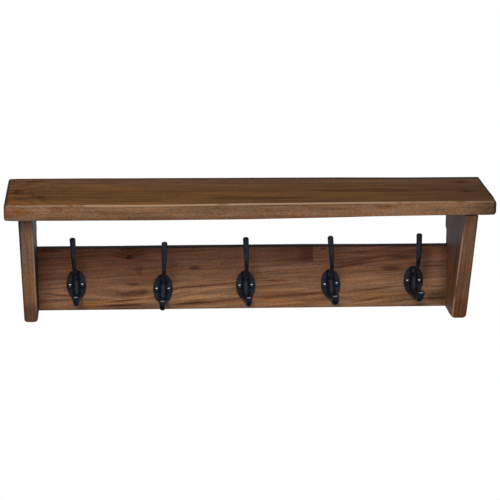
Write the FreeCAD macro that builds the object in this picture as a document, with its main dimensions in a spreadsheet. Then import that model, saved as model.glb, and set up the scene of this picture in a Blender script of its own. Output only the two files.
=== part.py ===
import FreeCAD, Part
import math
import os
import re

import Sketcher

# A wall coat rack: a thick shelf board on two tapering brackets, with a rail of cast double hooks between
# them. Lengths are in millimetres and angles in degrees. The back of the rack lies on the plane y = 0, the
# front faces -Y, x = 0 is half way along the shelf and z = 0 is half way up the hook rail.

# Driving sizes
SIZES = [
    ("shelf_length", 914.0),
    ("shelf_depth", 190.0),
    ("shelf_thickness", 30.6),
    ("shelf_corner_round", 6.0),
    ("shelf_edge_round", 4.0),
    ("left_overhang", 27.0),
    ("right_overhang", 30.8),
    ("left_bracket_thickness", 25.4),
    ("right_bracket_thickness", 27.6),
    ("bracket_height", 231.4),
    ("bracket_setback", 6.0),
    ("bracket_foot_depth", 97.0),
    ("bracket_foot_round", 8.0),
    ("bracket_edge_round", 3.0),
    ("rail_height", 124.5),
    ("rail_thickness", 19.0),
    ("rail_edge_round", 1.6),
    ("left_hook_margin", 75.0),
    ("right_hook_margin", 67.0),
    # each hook was fitted by hand: how far it is off its even place, how far under the rail's middle, and
    # its lean
    ("hook_shift_1", 0.0),
    ("hook_shift_2", 3.2),
    ("hook_shift_3", 0.0),
    ("hook_shift_4", 2.1),
    ("hook_shift_5", 0.4),
    ("hook_drop_1", 10.1),
    ("hook_drop_2", 20.0),
    ("hook_drop_3", 14.7),
    ("hook_drop_4", 13.7),
    ("hook_drop_5", 8.4),
    ("hook_tilt_1", -2.4),
    ("hook_tilt_2", 0.8),
    ("hook_tilt_3", -2.6),
    ("hook_tilt_4", -5.0),
    ("hook_tilt_5", -0.9),
    ("plate_width", 37.0),
    ("plate_height", 60.0),
    ("plate_thickness", 4.6),
    ("plate_edge_round", 3.0),
    ("ridge_top", 28.0),
    ("ridge_bottom", 27.0),
    ("ridge_top_taper", 6.5),
    ("ridge_bottom_taper", 6.5),
    ("ridge_end_reach", 6.5),
    ("ridge_margin", 0.2),
    ("root_reach", 8.0),
    ("prong_root_height", 14.0),
    ("prong_lean", 57.0),
    ("prong_reach", 66.0),
    ("prong_bend_radius", 58.0),
    ("prong_tip_rise", 32.0),
    ("prong_root_diameter", 7.4),
    ("prong_waist_diameter", 6.7),
    ("prong_neck_diameter", 8.7),
    ("prong_tip_diameter", 9.8),
    ("lower_root_drop", 20.9),
    ("lower_slope", -3.5),
    ("lower_reach", 75.0),
    ("lower_bend_radius", 11.5),
    ("lower_tip_rise", 7.1),
    ("lower_root_width", 16.8),
    ("lower_root_height", 17.2),
    ("lower_waist_width", 10.8),
    ("lower_waist_height", 11.2),
    ("lower_tip_width", 13.4),
    ("lower_tip_depth", 13.8),
    ("tip_round", 3.0),
    ("hook_screw_spacing", 23.6),
    ("hook_screw_diameter", 4.2),
    ("hook_screw_length", 18.0),
    ("hook_screw_head_diameter", 8.0),
    ("hook_screw_head_height", 3.0),
    ("recess_length", 4.4),
    ("recess_width", 1.1),
    ("recess_depth", 1.6),
    ("shelf_screw_back", 42.0),
    ("shelf_screw_front", 115.0),
    ("shelf_screw_diameter", 4.5),
    ("shelf_screw_length", 47.0),
    ("shelf_screw_head_diameter", 8.6),
    ("shelf_screw_head_height", 3.0),
    ("screw_point_length", 5.0),
    ("plug_diameter", 10.0),
    ("plug_length", 8.0),
    ("dowel_diameter", 8.0),
    ("dowel_in_bracket", 15.0),
    ("dowel_in_rail", 21.0),
    ("dowel_chamfer", 1.0),
    ("hanger_width", 16.0),
    ("hanger_height", 50.0),
    ("hanger_thickness", 1.5),
    ("hanger_drop", 55.0),
    ("keyhole_entry_diameter", 9.0),
    ("keyhole_entry_drop", 5.0),
    ("keyhole_slot_width", 4.6),
    ("keyhole_slot_rise", 9.0),
    ("keyhole_pocket_side", 1.5),
    ("keyhole_pocket_depth", 10.0),
    ("hanger_screw_spacing", 40.0),
    ("hanger_screw_diameter", 3.2),
    ("hanger_screw_length", 16.0),
    # clearances
    ("plate_hole_clearance", 0.3),
    ("wood_clearance", 0.05),
    ("hole_end_gap", 0.5),
    ("through_cut_margin", 1.0),
]

# Shares of another size
ROUND_LIMIT = 0.45  # the most that a board's edge is rounded, of its thickness
PLATE_ROUND_LIMIT = 0.8  # the same for a hook's plate
DOME_SHARE = 0.75  # rounding of a screw head, of its height
RIDGE_COVER = 0.42  # how far a ridge stands over the prong's root, of its diameter
COUNTERSINK_SHARE = 0.9  # depth of a countersink, of the plate's thickness
RIM_LIMIT = 1.5  # the widest that a screw hole's rim is taken to be, of the screw's diameter

# The hooks are those that the sizes name, from left to right
HOOK_WORD = "hook_drop_"
HOOKS = [alias.removeprefix(HOOK_WORD) for alias, value in SIZES if alias.startswith(HOOK_WORD)]

# Places worked out from the driving sizes
LEFT_INNER = "(left_overhang + left_bracket_thickness - shelf_length / 2)"
RIGHT_INNER = "(shelf_length / 2 - right_overhang - right_bracket_thickness)"
LEFT_MIDDLE = f"({LEFT_INNER} - left_bracket_thickness / 2)"
RIGHT_MIDDLE = f"({RIGHT_INNER} + right_bracket_thickness / 2)"
FOOT = "(-rail_height / 2)"
UNDERSIDE = f"({FOOT} + bracket_height)"
SHELF_TOP = f"({UNDERSIDE} + shelf_thickness)"
BRACKET_TOP_DEPTH = "(shelf_depth - bracket_setback)"
DOWEL_HEIGHT = "(rail_height / 4)"
HANGER_HEIGHT = f"({UNDERSIDE} - hanger_drop)"
FIRST_HOOK = f"({LEFT_INNER} + left_hook_margin)"
LAST_HOOK = f"({RIGHT_INNER} - right_hook_margin)"
SCREW_SEAT = "(plug_length + shelf_screw_head_height)"
COUNTERSINK = f"(hanger_thickness * {COUNTERSINK_SHARE})"
HANGER_END = "((hanger_height - hanger_width) / 2)"
RIDGE_WIDTH = "(prong_root_diameter + 2 * ridge_margin)"
RIDGE_REACH = f"(root_reach + prong_root_diameter * {RIDGE_COVER})"
PRONG_ARC_REACH = "(prong_reach - prong_bend_radius * (1 - cos(prong_lean * 1deg)))"
PRONG_ARC_HEIGHT = f"(prong_root_height + ({PRONG_ARC_REACH} - root_reach) / tan(prong_lean * 1deg))"
PRONG_CENTRE_HEIGHT = f"({PRONG_ARC_HEIGHT} + prong_bend_radius * sin(prong_lean * 1deg))"
LOWER_ARC_REACH = "(lower_reach - lower_bend_radius * (1 + sin(lower_slope * 1deg)))"
LOWER_ROOT_REACH = "(plate_thickness / 2)"
LOWER_ARC_HEIGHT = f"(({LOWER_ROOT_REACH} - {LOWER_ARC_REACH}) * tan(lower_slope * 1deg) - lower_root_drop)"
LOWER_CENTRE_HEIGHT = f"({LOWER_ARC_HEIGHT} + lower_bend_radius * cos(lower_slope * 1deg))"

doc = FreeCAD.newDocument("CoatRack")
sheet = doc.addObject("Spreadsheet::Sheet", "Sizes")
for row, (alias, value) in enumerate(SIZES, start=1):
    sheet.set(f"A{row}", alias)
    sheet.set(f"B{row}", str(value))
    sheet.setAlias(f"B{row}", alias)
doc.recompute()

SIZE_WORD = re.compile(r"\b(" + "|".join(alias for alias, value in SIZES) + r")\b")
TOLERANCE = 0.001


# Binding to the sheet
def in_sheet(text):
    return SIZE_WORD.sub(r"Sizes.\1", text)


def bind(item, path, text):
    item.setExpression(path, in_sheet(text))


def number(text):
    return float(sheet.evalExpression(in_sheet(text)))


def hook_place(hook):
    """Where the middle of a hook's plate lies along and up the rail."""
    part_way = HOOKS.index(hook) / (len(HOOKS) - 1)
    along = f"({FIRST_HOOK} + ({LAST_HOOK} - {FIRST_HOOK}) * {part_way} + hook_shift_{hook})"
    return along, f"(-hook_drop_{hook})"


# Bodies and sketches
def turned_about(axis):
    """A placement with that axis of turning; its angle is bound afterwards."""
    return FreeCAD.Placement(FreeCAD.Vector(), FreeCAD.Rotation(axis, 1))


def new_body(label, base=("0", "0", "0"), tilt=None):
    body = doc.addObject("PartDesign::Body", label)
    body.Label = label
    if tilt is not None:
        body.Placement = turned_about(FreeCAD.Vector(0, 1, 0))
        bind(body, "Placement.Rotation.Angle", f"{tilt} * 1deg")
    for axis, text in zip("xyz", base):
        bind(body, f"Placement.Base.{axis}", text)
    return body


def origin_item(body, role):
    return next(item for item in body.Origin.OriginFeatures if item.Role == role)


def new_sketch(body, name, plane, offset=("0", "0", "0"), turn=None):
    """A sketch on one of the body's planes, shifted along its own axes and turned about its x axis."""
    sketch = body.newObject("Sketcher::SketchObject", f"{body.Name}_{name}")
    sketch.AttachmentSupport = [(origin_item(body, plane), "")]
    sketch.MapMode = "FlatFace"
    if turn is not None:
        sketch.AttachmentOffset = turned_about(FreeCAD.Vector(1, 0, 0))
        bind(sketch, "AttachmentOffset.Rotation.Angle", f"({turn}) * 1deg")
    for axis, text in zip("xyz", offset):
        bind(sketch, f"AttachmentOffset.Base.{axis}", text)
    return sketch


def hold(sketch, constraint, text):
    """Adds a dimension to a sketch and ties it to the sheet."""
    index = sketch.addConstraint(constraint)
    name = f"size_{index}"
    sketch.renameConstraint(index, name)
    bind(sketch, f"Constraints.{name}", text)


def hold_point(sketch, geometry, point, across, up):
    hold(sketch, Sketcher.Constraint("DistanceX", -1, 1, geometry, point, number(across)), across)
    hold(sketch, Sketcher.Constraint("DistanceY", -1, 1, geometry, point, number(up)), up)


def at(across, up):
    return FreeCAD.Vector(number(across), number(up), 0)


def add_polygon(sketch, corners):
    lines = []
    for index, corner in enumerate(corners):
        following = corners[(index + 1) % len(corners)]
        lines.append(sketch.addGeometry(Part.LineSegment(at(*corner), at(*following))))
    for index, line in enumerate(lines):
        following = lines[(index + 1) % len(lines)]
        sketch.addConstraint(Sketcher.Constraint("Coincident", line, 2, following, 1))
    for line, (across, up) in zip(lines, corners):
        hold_point(sketch, line, 1, across, up)


def add_rectangle(sketch, left, bottom, right, top):
    add_polygon(sketch, [(left, bottom), (right, bottom), (right, top), (left, top)])


def add_circle(sketch, across, up, diameter):
    circle = sketch.addGeometry(Part.Circle(at(across, up), FreeCAD.Vector(0, 0, 1), number(diameter) / 2))
    hold_point(sketch, circle, 3, across, up)
    hold(sketch, Sketcher.Constraint("Diameter", circle, number(diameter)), diameter)


def add_slot(sketch, across, low, high, width):
    """A round-ended upright slot; low and high are the centres of its ends."""
    half = number(width) / 2
    up = FreeCAD.Vector(0, 0, 1)
    side = FreeCAD.Vector(half, 0, 0)
    upper = at(across, high)
    lower = at(across, low)
    top = sketch.addGeometry(Part.ArcOfCircle(Part.Circle(upper, up, half), 0, math.pi))
    left = sketch.addGeometry(Part.LineSegment(upper - side, lower - side))
    bottom = sketch.addGeometry(Part.ArcOfCircle(Part.Circle(lower, up, half), math.pi, 2 * math.pi))
    right = sketch.addGeometry(Part.LineSegment(lower + side, upper + side))
    for first, second in [(top, left), (left, bottom), (bottom, right)]:
        sketch.addConstraint(Sketcher.Constraint("Tangent", first, 2, second, 1))
    sketch.addConstraint(Sketcher.Constraint("Tangent", right, 2, top, 1))
    sketch.addConstraint(Sketcher.Constraint("Equal", top, bottom))
    hold_point(sketch, top, 3, across, high)
    hold_point(sketch, bottom, 3, across, low)
    hold(sketch, Sketcher.Constraint("Radius", top, half), f"({width}) / 2")


def add_ellipse(sketch, width, height):
    """An upright ellipse about the sketch's origin."""
    tall = FreeCAD.Vector(0, number(height) / 2, 0)
    wide = FreeCAD.Vector(number(width) / 2, 0, 0)
    ellipse = sketch.addGeometry(Part.Ellipse(tall, wide, FreeCAD.Vector()))
    sketch.exposeInternalGeometry(ellipse)
    long_axis = ellipse + 1
    short_axis = ellipse + 2
    sketch.addConstraint(Sketcher.Constraint("Coincident", ellipse, 3, -1, 1))
    sketch.addConstraint(Sketcher.Constraint("Vertical", long_axis))
    hold(sketch, Sketcher.Constraint("Distance", long_axis, number(height)), height)
    hold(sketch, Sketcher.Constraint("Distance", short_axis, number(width)), width)


def add_hook_path(sketch, root, arc_start, arc_centre, radius, tip):
    """A straight run from the root, a bend that ends upright, and a straight run up to the tip."""
    centre = at(*arc_centre)
    start_angle = math.atan2(number(arc_start[1]) - centre.y, number(arc_start[0]) - centre.x)
    circle = Part.Circle(centre, FreeCAD.Vector(0, 0, 1), number(radius))
    end = FreeCAD.Vector(centre.x - number(radius), centre.y, 0)
    run = sketch.addGeometry(Part.LineSegment(at(*root), at(*arc_start)))
    bend = sketch.addGeometry(Part.ArcOfCircle(circle, math.pi, start_angle % (2 * math.pi)))
    rise = sketch.addGeometry(Part.LineSegment(end, at(*tip)))
    sketch.addConstraint(Sketcher.Constraint("Coincident", run, 2, bend, 2))
    sketch.addConstraint(Sketcher.Constraint("Coincident", bend, 1, rise, 1))
    hold_point(sketch, run, 1, *root)
    hold_point(sketch, bend, 3, *arc_centre)
    hold_point(sketch, run, 2, *arc_start)
    hold(sketch, Sketcher.Constraint("DistanceY", -1, 1, rise, 1, centre.y), arc_centre[1])
    hold_point(sketch, rise, 2, *tip)


# Features
def checked_cut(body, feature, before):
    doc.recompute()
    if body.Shape.Volume > before - TOLERANCE:
        raise RuntimeError(f"{feature.Name} removes nothing")


def add_pad(body, sketch, length, reverse=False):
    pad = body.newObject("PartDesign::Pad", f"{sketch.Name}_pad")
    pad.Profile = sketch
    pad.Reversed = reverse
    bind(pad, "Length", length)
    doc.recompute()
    return pad


def add_pocket(body, sketch, depth, reverse=False):
    doc.recompute()
    before = body.Shape.Volume
    pocket = body.newObject("PartDesign::Pocket", f"{sketch.Name}_pocket")
    pocket.Profile = sketch
    pocket.Reversed = reverse
    bind(pocket, "Length", depth)
    checked_cut(body, pocket, before)
    return pocket


def add_turning(body, sketch):
    turning = body.newObject("PartDesign::Revolution", f"{sketch.Name}_turning")
    turning.Profile = sketch
    turning.ReferenceAxis = (sketch, ["V_Axis"])
    turning.Angle = 360
    doc.recompute()
    return turning


def add_pipe(body, name, path, first, others):
    pipe = body.newObject("PartDesign::AdditivePipe", f"{body.Name}_{name}")
    pipe.Profile = first
    pipe.Spine = (path, [])
    pipe.Transformation = "Multisection"
    pipe.Sections = others
    doc.recompute()
    return pipe


def add_pair(body, originals, axis, length):
    pair = body.newObject("PartDesign::LinearPattern", f"{body.Name}_pair")
    pair.Originals = originals
    pair.Direction = (origin_item(body, axis), [""])
    bind(pair, "Length", length)
    pair.Occurrences = 2
    body.Tip = pair
    doc.recompute()


def edge_names(body, wanted):
    edges = enumerate(body.Tip.Shape.Edges, start=1)
    return [f"Edge{index}" for index, edge in edges if wanted(edge.BoundBox)]


def add_fillet(body, name, radius, wanted):
    doc.recompute()
    base = body.Tip
    names = edge_names(body, wanted)
    fillet = body.newObject("PartDesign::Fillet", f"{body.Name}_{name}")
    fillet.Base = (base, names)
    bind(fillet, "Radius", radius)
    doc.recompute()
    return fillet


def add_chamfer(body, name, size, wanted):
    doc.recompute()
    base = body.Tip
    names = edge_names(body, wanted)
    chamfer = body.newObject("PartDesign::Chamfer", f"{body.Name}_{name}")
    chamfer.Base = (base, names)
    bind(chamfer, "Size", size)
    doc.recompute()
    return chamfer


def flat_at(low, high, text):
    """Whether a span lies wholly at one value."""
    value = number(text)
    return abs(low - value) < TOLERANCE and abs(high - value) < TOLERANCE


# Shelf board
def make_shelf():
    body = new_body("shelf_board", ("0", "0", UNDERSIDE))
    outline = new_sketch(body, "outline", "XY_Plane")
    add_rectangle(outline, "-shelf_length / 2", "-shelf_depth", "shelf_length / 2", "0")
    add_pad(body, outline, "shelf_thickness")
    add_fillet(body, "corners", "shelf_corner_round",
               lambda box: box.XLength < TOLERANCE and box.YLength < TOLERANCE)
    add_fillet(body, "edges", f"min(shelf_edge_round; shelf_thickness * {ROUND_LIMIT})",
               lambda box: box.ZLength < TOLERANCE)
    seats = new_sketch(body, "seats", "XY_Plane", ("0", "0", "shelf_thickness"))
    holes = new_sketch(body, "holes", "XY_Plane", ("0", "0", "shelf_thickness"))
    for across in [LEFT_MIDDLE, RIGHT_MIDDLE]:
        for back in ["-shelf_screw_back", "-shelf_screw_front"]:
            add_circle(seats, across, back, "plug_diameter + 2 * wood_clearance")
            add_circle(holes, across, back, "shelf_screw_diameter + 2 * wood_clearance")
    add_pocket(body, seats, SCREW_SEAT)
    add_pocket(body, holes, "shelf_thickness + through_cut_margin")
    return body


# Brackets, each drawn from its inner face outwards
def make_bracket(side):
    left = side == "left"
    outward = -1 if left else 1
    thickness = f"{side}_bracket_thickness"
    middle = f"({outward} * {thickness} / 2)"
    body = new_body(f"{side}_bracket", (LEFT_INNER if left else RIGHT_INNER, "0", "0"))
    outline = new_sketch(body, "outline", "YZ_Plane")
    add_polygon(outline, [
        ("0", FOOT),
        ("0", UNDERSIDE),
        (f"-{BRACKET_TOP_DEPTH}", UNDERSIDE),
        ("-bracket_foot_depth", FOOT),
    ])
    add_pad(body, outline, thickness, reverse=left)
    add_fillet(body, "foot", "bracket_foot_round",
               lambda box: flat_at(box.ZMin, box.ZMax, FOOT)
               and flat_at(box.YMin, box.YMax, "-bracket_foot_depth"))
    add_fillet(body, "edges", f"min(bracket_edge_round; {thickness} * {ROUND_LIMIT})",
               lambda box: box.XLength < TOLERANCE
               and not flat_at(box.YMin, box.YMax, "0")
               and not flat_at(box.ZMin, box.ZMax, UNDERSIDE))
    dowels = new_sketch(body, "dowels", "YZ_Plane")
    for height in [DOWEL_HEIGHT, f"-{DOWEL_HEIGHT}"]:
        add_circle(dowels, "-rail_thickness / 2", height, "dowel_diameter + 2 * wood_clearance")
    add_pocket(body, dowels, "dowel_in_bracket + hole_end_gap", reverse=not left)
    pilots = new_sketch(body, "pilots", "XY_Plane", ("0", "0", UNDERSIDE))
    for back in ["-shelf_screw_back", "-shelf_screw_front"]:
        add_circle(pilots, middle, back, "shelf_screw_diameter + 2 * wood_clearance")
    add_pocket(body, pilots, f"{SCREW_SEAT} + shelf_screw_length - shelf_thickness + hole_end_gap")
    recess = new_sketch(body, "recess", "XZ_Plane")
    add_slot(recess, middle, f"{HANGER_HEIGHT} - {HANGER_END}", f"{HANGER_HEIGHT} + {HANGER_END}",
             "hanger_width + 2 * wood_clearance")
    add_pocket(body, recess, "hanger_thickness", reverse=True)
    hollow = new_sketch(body, "hollow", "XZ_Plane")
    add_slot(hollow, middle,
             f"{HANGER_HEIGHT} - keyhole_entry_drop", f"{HANGER_HEIGHT} + keyhole_slot_rise",
             "keyhole_entry_diameter + 2 * keyhole_pocket_side")
    add_pocket(body, hollow, "keyhole_pocket_depth", reverse=True)
    small_pilots = new_sketch(body, "small_pilots", "XZ_Plane")
    for step in ["+ hanger_screw_spacing / 2", "- hanger_screw_spacing / 2"]:
        add_circle(small_pilots, middle, f"{HANGER_HEIGHT} {step}",
                   "hanger_screw_diameter + 2 * wood_clearance")
    add_pocket(body, small_pilots, "hanger_screw_length + hole_end_gap", reverse=True)
    return body


# Hook rail
def make_rail():
    body = new_body("hook_rail")
    outline = new_sketch(body, "outline", "XZ_Plane")
    add_rectangle(outline, LEFT_INNER, FOOT, RIGHT_INNER, "rail_height / 2")
    add_pad(body, outline, "rail_thickness")
    add_fillet(body, "edges", f"min(rail_edge_round; rail_thickness * {ROUND_LIMIT})",
               lambda box: box.XLength > TOLERANCE and flat_at(box.YMin, box.YMax, "-rail_thickness"))
    for end, across in [("left", LEFT_INNER), ("right", RIGHT_INNER)]:
        dowels = new_sketch(body, f"{end}_dowels", "YZ_Plane", ("0", "0", across))
        for height in [DOWEL_HEIGHT, f"-{DOWEL_HEIGHT}"]:
            add_circle(dowels, "-rail_thickness / 2", height, "dowel_diameter + 2 * wood_clearance")
        add_pocket(body, dowels, "dowel_in_rail + hole_end_gap", reverse=end == "left")
    pilots = new_sketch(body, "pilots", "XZ_Plane", ("0", "0", "rail_thickness"))
    for hook in HOOKS:
        along, up = hook_place(hook)
        for sign in ["-", "+"]:
            opposite = "+" if sign == "-" else "-"
            add_circle(pilots,
                       f"{along} {sign} hook_screw_spacing / 2 * cos(hook_tilt_{hook} * 1deg)",
                       f"{up} {opposite} hook_screw_spacing / 2 * sin(hook_tilt_{hook} * 1deg)",
                       "hook_screw_diameter + 2 * wood_clearance")
    add_pocket(body, pilots, "hook_screw_length - plate_thickness + hole_end_gap")
    return body


# Cast double hooks, drawn from the middle of the plate's back
def make_hook(hook):
    along, up = hook_place(hook)
    body = new_body(f"coat_hook_{hook}", (along, "-rail_thickness", up), f"hook_tilt_{hook}")
    plate = new_sketch(body, "plate", "XZ_Plane")
    add_ellipse(plate, "plate_width", "plate_height")
    add_pad(body, plate, "plate_thickness")
    add_fillet(body, "plate_edge", f"min(plate_edge_round; plate_thickness * {PLATE_ROUND_LIMIT})",
               lambda box: flat_at(box.YMin, box.YMax, "-plate_thickness"))

    ridge = new_sketch(body, "ridge", "YZ_Plane", ("0", "0", f"-{RIDGE_WIDTH} / 2"))
    add_polygon(ridge, [
        ("-plate_thickness / 2", "ridge_top"),
        ("-ridge_end_reach", "ridge_top"),
        (f"-{RIDGE_REACH}", "ridge_top - ridge_top_taper"),
        (f"-{RIDGE_REACH}", "ridge_bottom_taper - ridge_bottom"),
        ("-ridge_end_reach", "-ridge_bottom"),
        ("-plate_thickness / 2", "-ridge_bottom"),
    ])
    add_pad(body, ridge, RIDGE_WIDTH)

    prong_tip = f"({PRONG_CENTRE_HEIGHT} + prong_tip_rise)"
    prong_path = new_sketch(body, "prong_path", "YZ_Plane")
    add_hook_path(prong_path,
                  ("-root_reach", "prong_root_height"),
                  (f"-{PRONG_ARC_REACH}", PRONG_ARC_HEIGHT),
                  ("prong_bend_radius - prong_reach", PRONG_CENTRE_HEIGHT),
                  "prong_bend_radius",
                  ("-prong_reach", prong_tip))
    prong_root = new_sketch(body, "prong_root", "XY_Plane",
                            ("0", "-root_reach", "prong_root_height"), "prong_lean")
    add_circle(prong_root, "0", "0", "prong_root_diameter")
    prong_waist = new_sketch(body, "prong_waist", "XY_Plane",
                             ("0", f"-{PRONG_ARC_REACH}", PRONG_ARC_HEIGHT), "prong_lean")
    add_circle(prong_waist, "0", "0", "prong_waist_diameter")
    prong_neck = new_sketch(body, "prong_neck", "XY_Plane", ("0", "-prong_reach", PRONG_CENTRE_HEIGHT))
    add_circle(prong_neck, "0", "0", "prong_neck_diameter")
    prong_end = new_sketch(body, "prong_end", "XY_Plane", ("0", "-prong_reach", prong_tip))
    add_circle(prong_end, "0", "0", "prong_tip_diameter")
    add_pipe(body, "prong", prong_path, prong_root, [prong_waist, prong_neck, prong_end])

    lower_tip = f"({LOWER_CENTRE_HEIGHT} + lower_tip_rise)"
    lower_path = new_sketch(body, "lower_path", "YZ_Plane")
    add_hook_path(lower_path,
                  (f"-{LOWER_ROOT_REACH}", "-lower_root_drop"),
                  (f"-{LOWER_ARC_REACH}", LOWER_ARC_HEIGHT),
                  ("lower_bend_radius - lower_reach", LOWER_CENTRE_HEIGHT),
                  "lower_bend_radius",
                  ("-lower_reach", lower_tip))
    across_arm = "90 + lower_slope"
    lower_root = new_sketch(body, "lower_root", "XY_Plane",
                            ("0", f"-{LOWER_ROOT_REACH}", "-lower_root_drop"), across_arm)
    add_ellipse(lower_root, "lower_root_width", "lower_root_height")
    lower_waist = new_sketch(body, "lower_waist", "XY_Plane",
                             ("0", f"-{LOWER_ARC_REACH}", LOWER_ARC_HEIGHT), across_arm)
    add_ellipse(lower_waist, "lower_waist_width", "lower_waist_height")
    lower_end = new_sketch(body, "lower_end", "XY_Plane", ("0", "-lower_reach", lower_tip))
    add_ellipse(lower_end, "lower_tip_width", "lower_tip_depth")
    add_pipe(body, "lower", lower_path, lower_root, [lower_waist, lower_end])

    def at_a_tip(box):
        return flat_at(box.ZMin, box.ZMax, prong_tip) or flat_at(box.ZMin, box.ZMax, lower_tip)

    add_fillet(body, "tips", "tip_round", at_a_tip)
    holes = new_sketch(body, "holes", "XZ_Plane")
    for across in ["-hook_screw_spacing / 2", "hook_screw_spacing / 2"]:
        add_circle(holes, across, "0", "hook_screw_diameter + 2 * plate_hole_clearance")
    add_pocket(body, holes, "plate_thickness + through_cut_margin", reverse=True)
    return body


# Round-head screws of one hook, drawn from the plate's front face
def make_hook_screws(hook):
    along, up = hook_place(hook)
    plate_front = "-rail_thickness - plate_thickness"
    body = new_body(f"hook_screws_{hook}", (along, plate_front, up), f"hook_tilt_{hook}")
    first = "-hook_screw_spacing / 2"
    profile = new_sketch(body, "profile", "XY_Plane", (first, "0", "0"))
    add_polygon(profile, [
        ("0", "-hook_screw_head_height"),
        ("hook_screw_head_diameter / 2", "-hook_screw_head_height"),
        ("hook_screw_head_diameter / 2", "0"),
        ("hook_screw_diameter / 2", "0"),
        ("hook_screw_diameter / 2", "hook_screw_length - screw_point_length"),
        ("0", "hook_screw_length"),
    ])
    turning = add_turning(body, profile)
    dome = add_fillet(body, "dome", f"hook_screw_head_height * {DOME_SHARE}",
                      lambda box: flat_at(box.YMin, box.YMax, "-hook_screw_head_height")
                      and box.ZLength > TOLERANCE)
    recess = new_sketch(body, "recess", "XZ_Plane", (first, "0", "hook_screw_head_height"))
    arm = "recess_length / 2"
    half = "recess_width / 2"
    add_polygon(recess, [
        (arm, f"-{half}"), (arm, half), (half, half), (half, arm), (f"-{half}", arm), (f"-{half}", half),
        (f"-{arm}", half), (f"-{arm}", f"-{half}"), (f"-{half}", f"-{half}"), (f"-{half}", f"-{arm}"),
        (half, f"-{arm}"), (half, f"-{half}"),
    ])
    cross = add_pocket(body, recess, "recess_depth")
    add_pair(body, [turning, dome, cross], "X_Axis", "hook_screw_spacing")
    return body


# Long screws through the shelf into a bracket, and the plugs over them
def shelf_screw_line(side):
    return LEFT_MIDDLE if side == "left" else RIGHT_MIDDLE


def make_shelf_screws(side):
    head_top = f"({SHELF_TOP} - plug_length)"
    body = new_body(f"{side}_shelf_screws", (shelf_screw_line(side), "-shelf_screw_front", head_top))
    profile = new_sketch(body, "profile", "XZ_Plane")
    tip = "(shelf_screw_head_height + shelf_screw_length)"
    add_polygon(profile, [
        ("0", "0"),
        ("0", f"-{tip}"),
        ("shelf_screw_diameter / 2", f"screw_point_length - {tip}"),
        ("shelf_screw_diameter / 2", "-shelf_screw_head_height"),
        ("shelf_screw_head_diameter / 2", "-shelf_screw_head_height"),
        ("shelf_screw_head_diameter / 2", "0"),
    ])
    turning = add_turning(body, profile)
    add_pair(body, [turning], "Y_Axis", "shelf_screw_front - shelf_screw_back")
    return body


def make_plugs(side):
    body = new_body(f"{side}_screw_plugs", (shelf_screw_line(side), "0", f"{SHELF_TOP} - plug_length"))
    rounds = new_sketch(body, "rounds", "XY_Plane")
    for back in ["-shelf_screw_back", "-shelf_screw_front"]:
        add_circle(rounds, "0", back, "plug_diameter")
    add_pad(body, rounds, "plug_length")
    return body


# Dowels between a rail end and its bracket
def make_dowels(side):
    start = f"{LEFT_INNER} - dowel_in_bracket" if side == "left" else f"{RIGHT_INNER} - dowel_in_rail"
    body = new_body(f"{side}_rail_dowels", (start, "-rail_thickness / 2", "0"))
    rounds = new_sketch(body, "rounds", "YZ_Plane")
    for height in [DOWEL_HEIGHT, f"-{DOWEL_HEIGHT}"]:
        add_circle(rounds, "0", height, "dowel_diameter")
    add_pad(body, rounds, "dowel_in_bracket + dowel_in_rail")
    add_chamfer(body, "ends", "dowel_chamfer", lambda box: box.XLength < TOLERANCE)
    return body


# Keyhole plate let into the back of a bracket, and its screws
def make_hanger(side):
    body = new_body(f"{side}_hanger_plate", (shelf_screw_line(side), "0", HANGER_HEIGHT))
    outline = new_sketch(body, "outline", "XZ_Plane")
    add_slot(outline, "0", f"-{HANGER_END}", HANGER_END, "hanger_width")
    add_pad(body, outline, "hanger_thickness")
    entry = new_sketch(body, "entry", "XZ_Plane")
    add_circle(entry, "0", "-keyhole_entry_drop", "keyhole_entry_diameter")
    add_pocket(body, entry, "hanger_thickness + through_cut_margin", reverse=True)
    slot = new_sketch(body, "slot", "XZ_Plane")
    add_slot(slot, "0", "-keyhole_entry_drop", "keyhole_slot_rise", "keyhole_slot_width")
    add_pocket(body, slot, "hanger_thickness + through_cut_margin", reverse=True)
    holes = new_sketch(body, "holes", "XZ_Plane")
    for height in ["hanger_screw_spacing / 2", "-hanger_screw_spacing / 2"]:
        add_circle(holes, "0", height, "hanger_screw_diameter + 2 * wood_clearance")
    add_pocket(body, holes, "hanger_thickness + through_cut_margin", reverse=True)

    def back_rim_of_a_screw_hole(box):
        middle = (box.ZMin + box.ZMax) / 2
        beside = abs(abs(middle) - number("hanger_screw_spacing / 2")) < TOLERANCE
        narrow = box.XLength < number(f"hanger_screw_diameter * {RIM_LIMIT}")
        return flat_at(box.YMin, box.YMax, "0") and beside and narrow

    add_chamfer(body, "countersinks", COUNTERSINK, back_rim_of_a_screw_hole)
    return body


def make_hanger_screws(side):
    lower = f"{HANGER_HEIGHT} - hanger_screw_spacing / 2"
    body = new_body(f"{side}_hanger_screws", (shelf_screw_line(side), "0", lower))
    profile = new_sketch(body, "profile", "XY_Plane")
    add_polygon(profile, [
        ("0", "0"),
        ("0", "-hanger_screw_length"),
        ("hanger_screw_diameter / 2", "screw_point_length - hanger_screw_length"),
        ("hanger_screw_diameter / 2", f"-{COUNTERSINK}"),
        (f"hanger_screw_diameter / 2 + {COUNTERSINK}", "0"),
    ])
    turning = add_turning(body, profile)
    add_pair(body, [turning], "Z_Axis", "hanger_screw_spacing")
    return body


nodes = [make_shelf(), make_rail()]
for hook in HOOKS:
    nodes.append(make_hook(hook))
    nodes.append(make_hook_screws(hook))
for side in ["left", "right"]:
    nodes.append(make_bracket(side))
    nodes.append(make_shelf_screws(side))
    nodes.append(make_plugs(side))
    nodes.append(make_dowels(side))
    nodes.append(make_hanger(side))
    nodes.append(make_hanger_screws(side))
doc.recompute()

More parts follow.
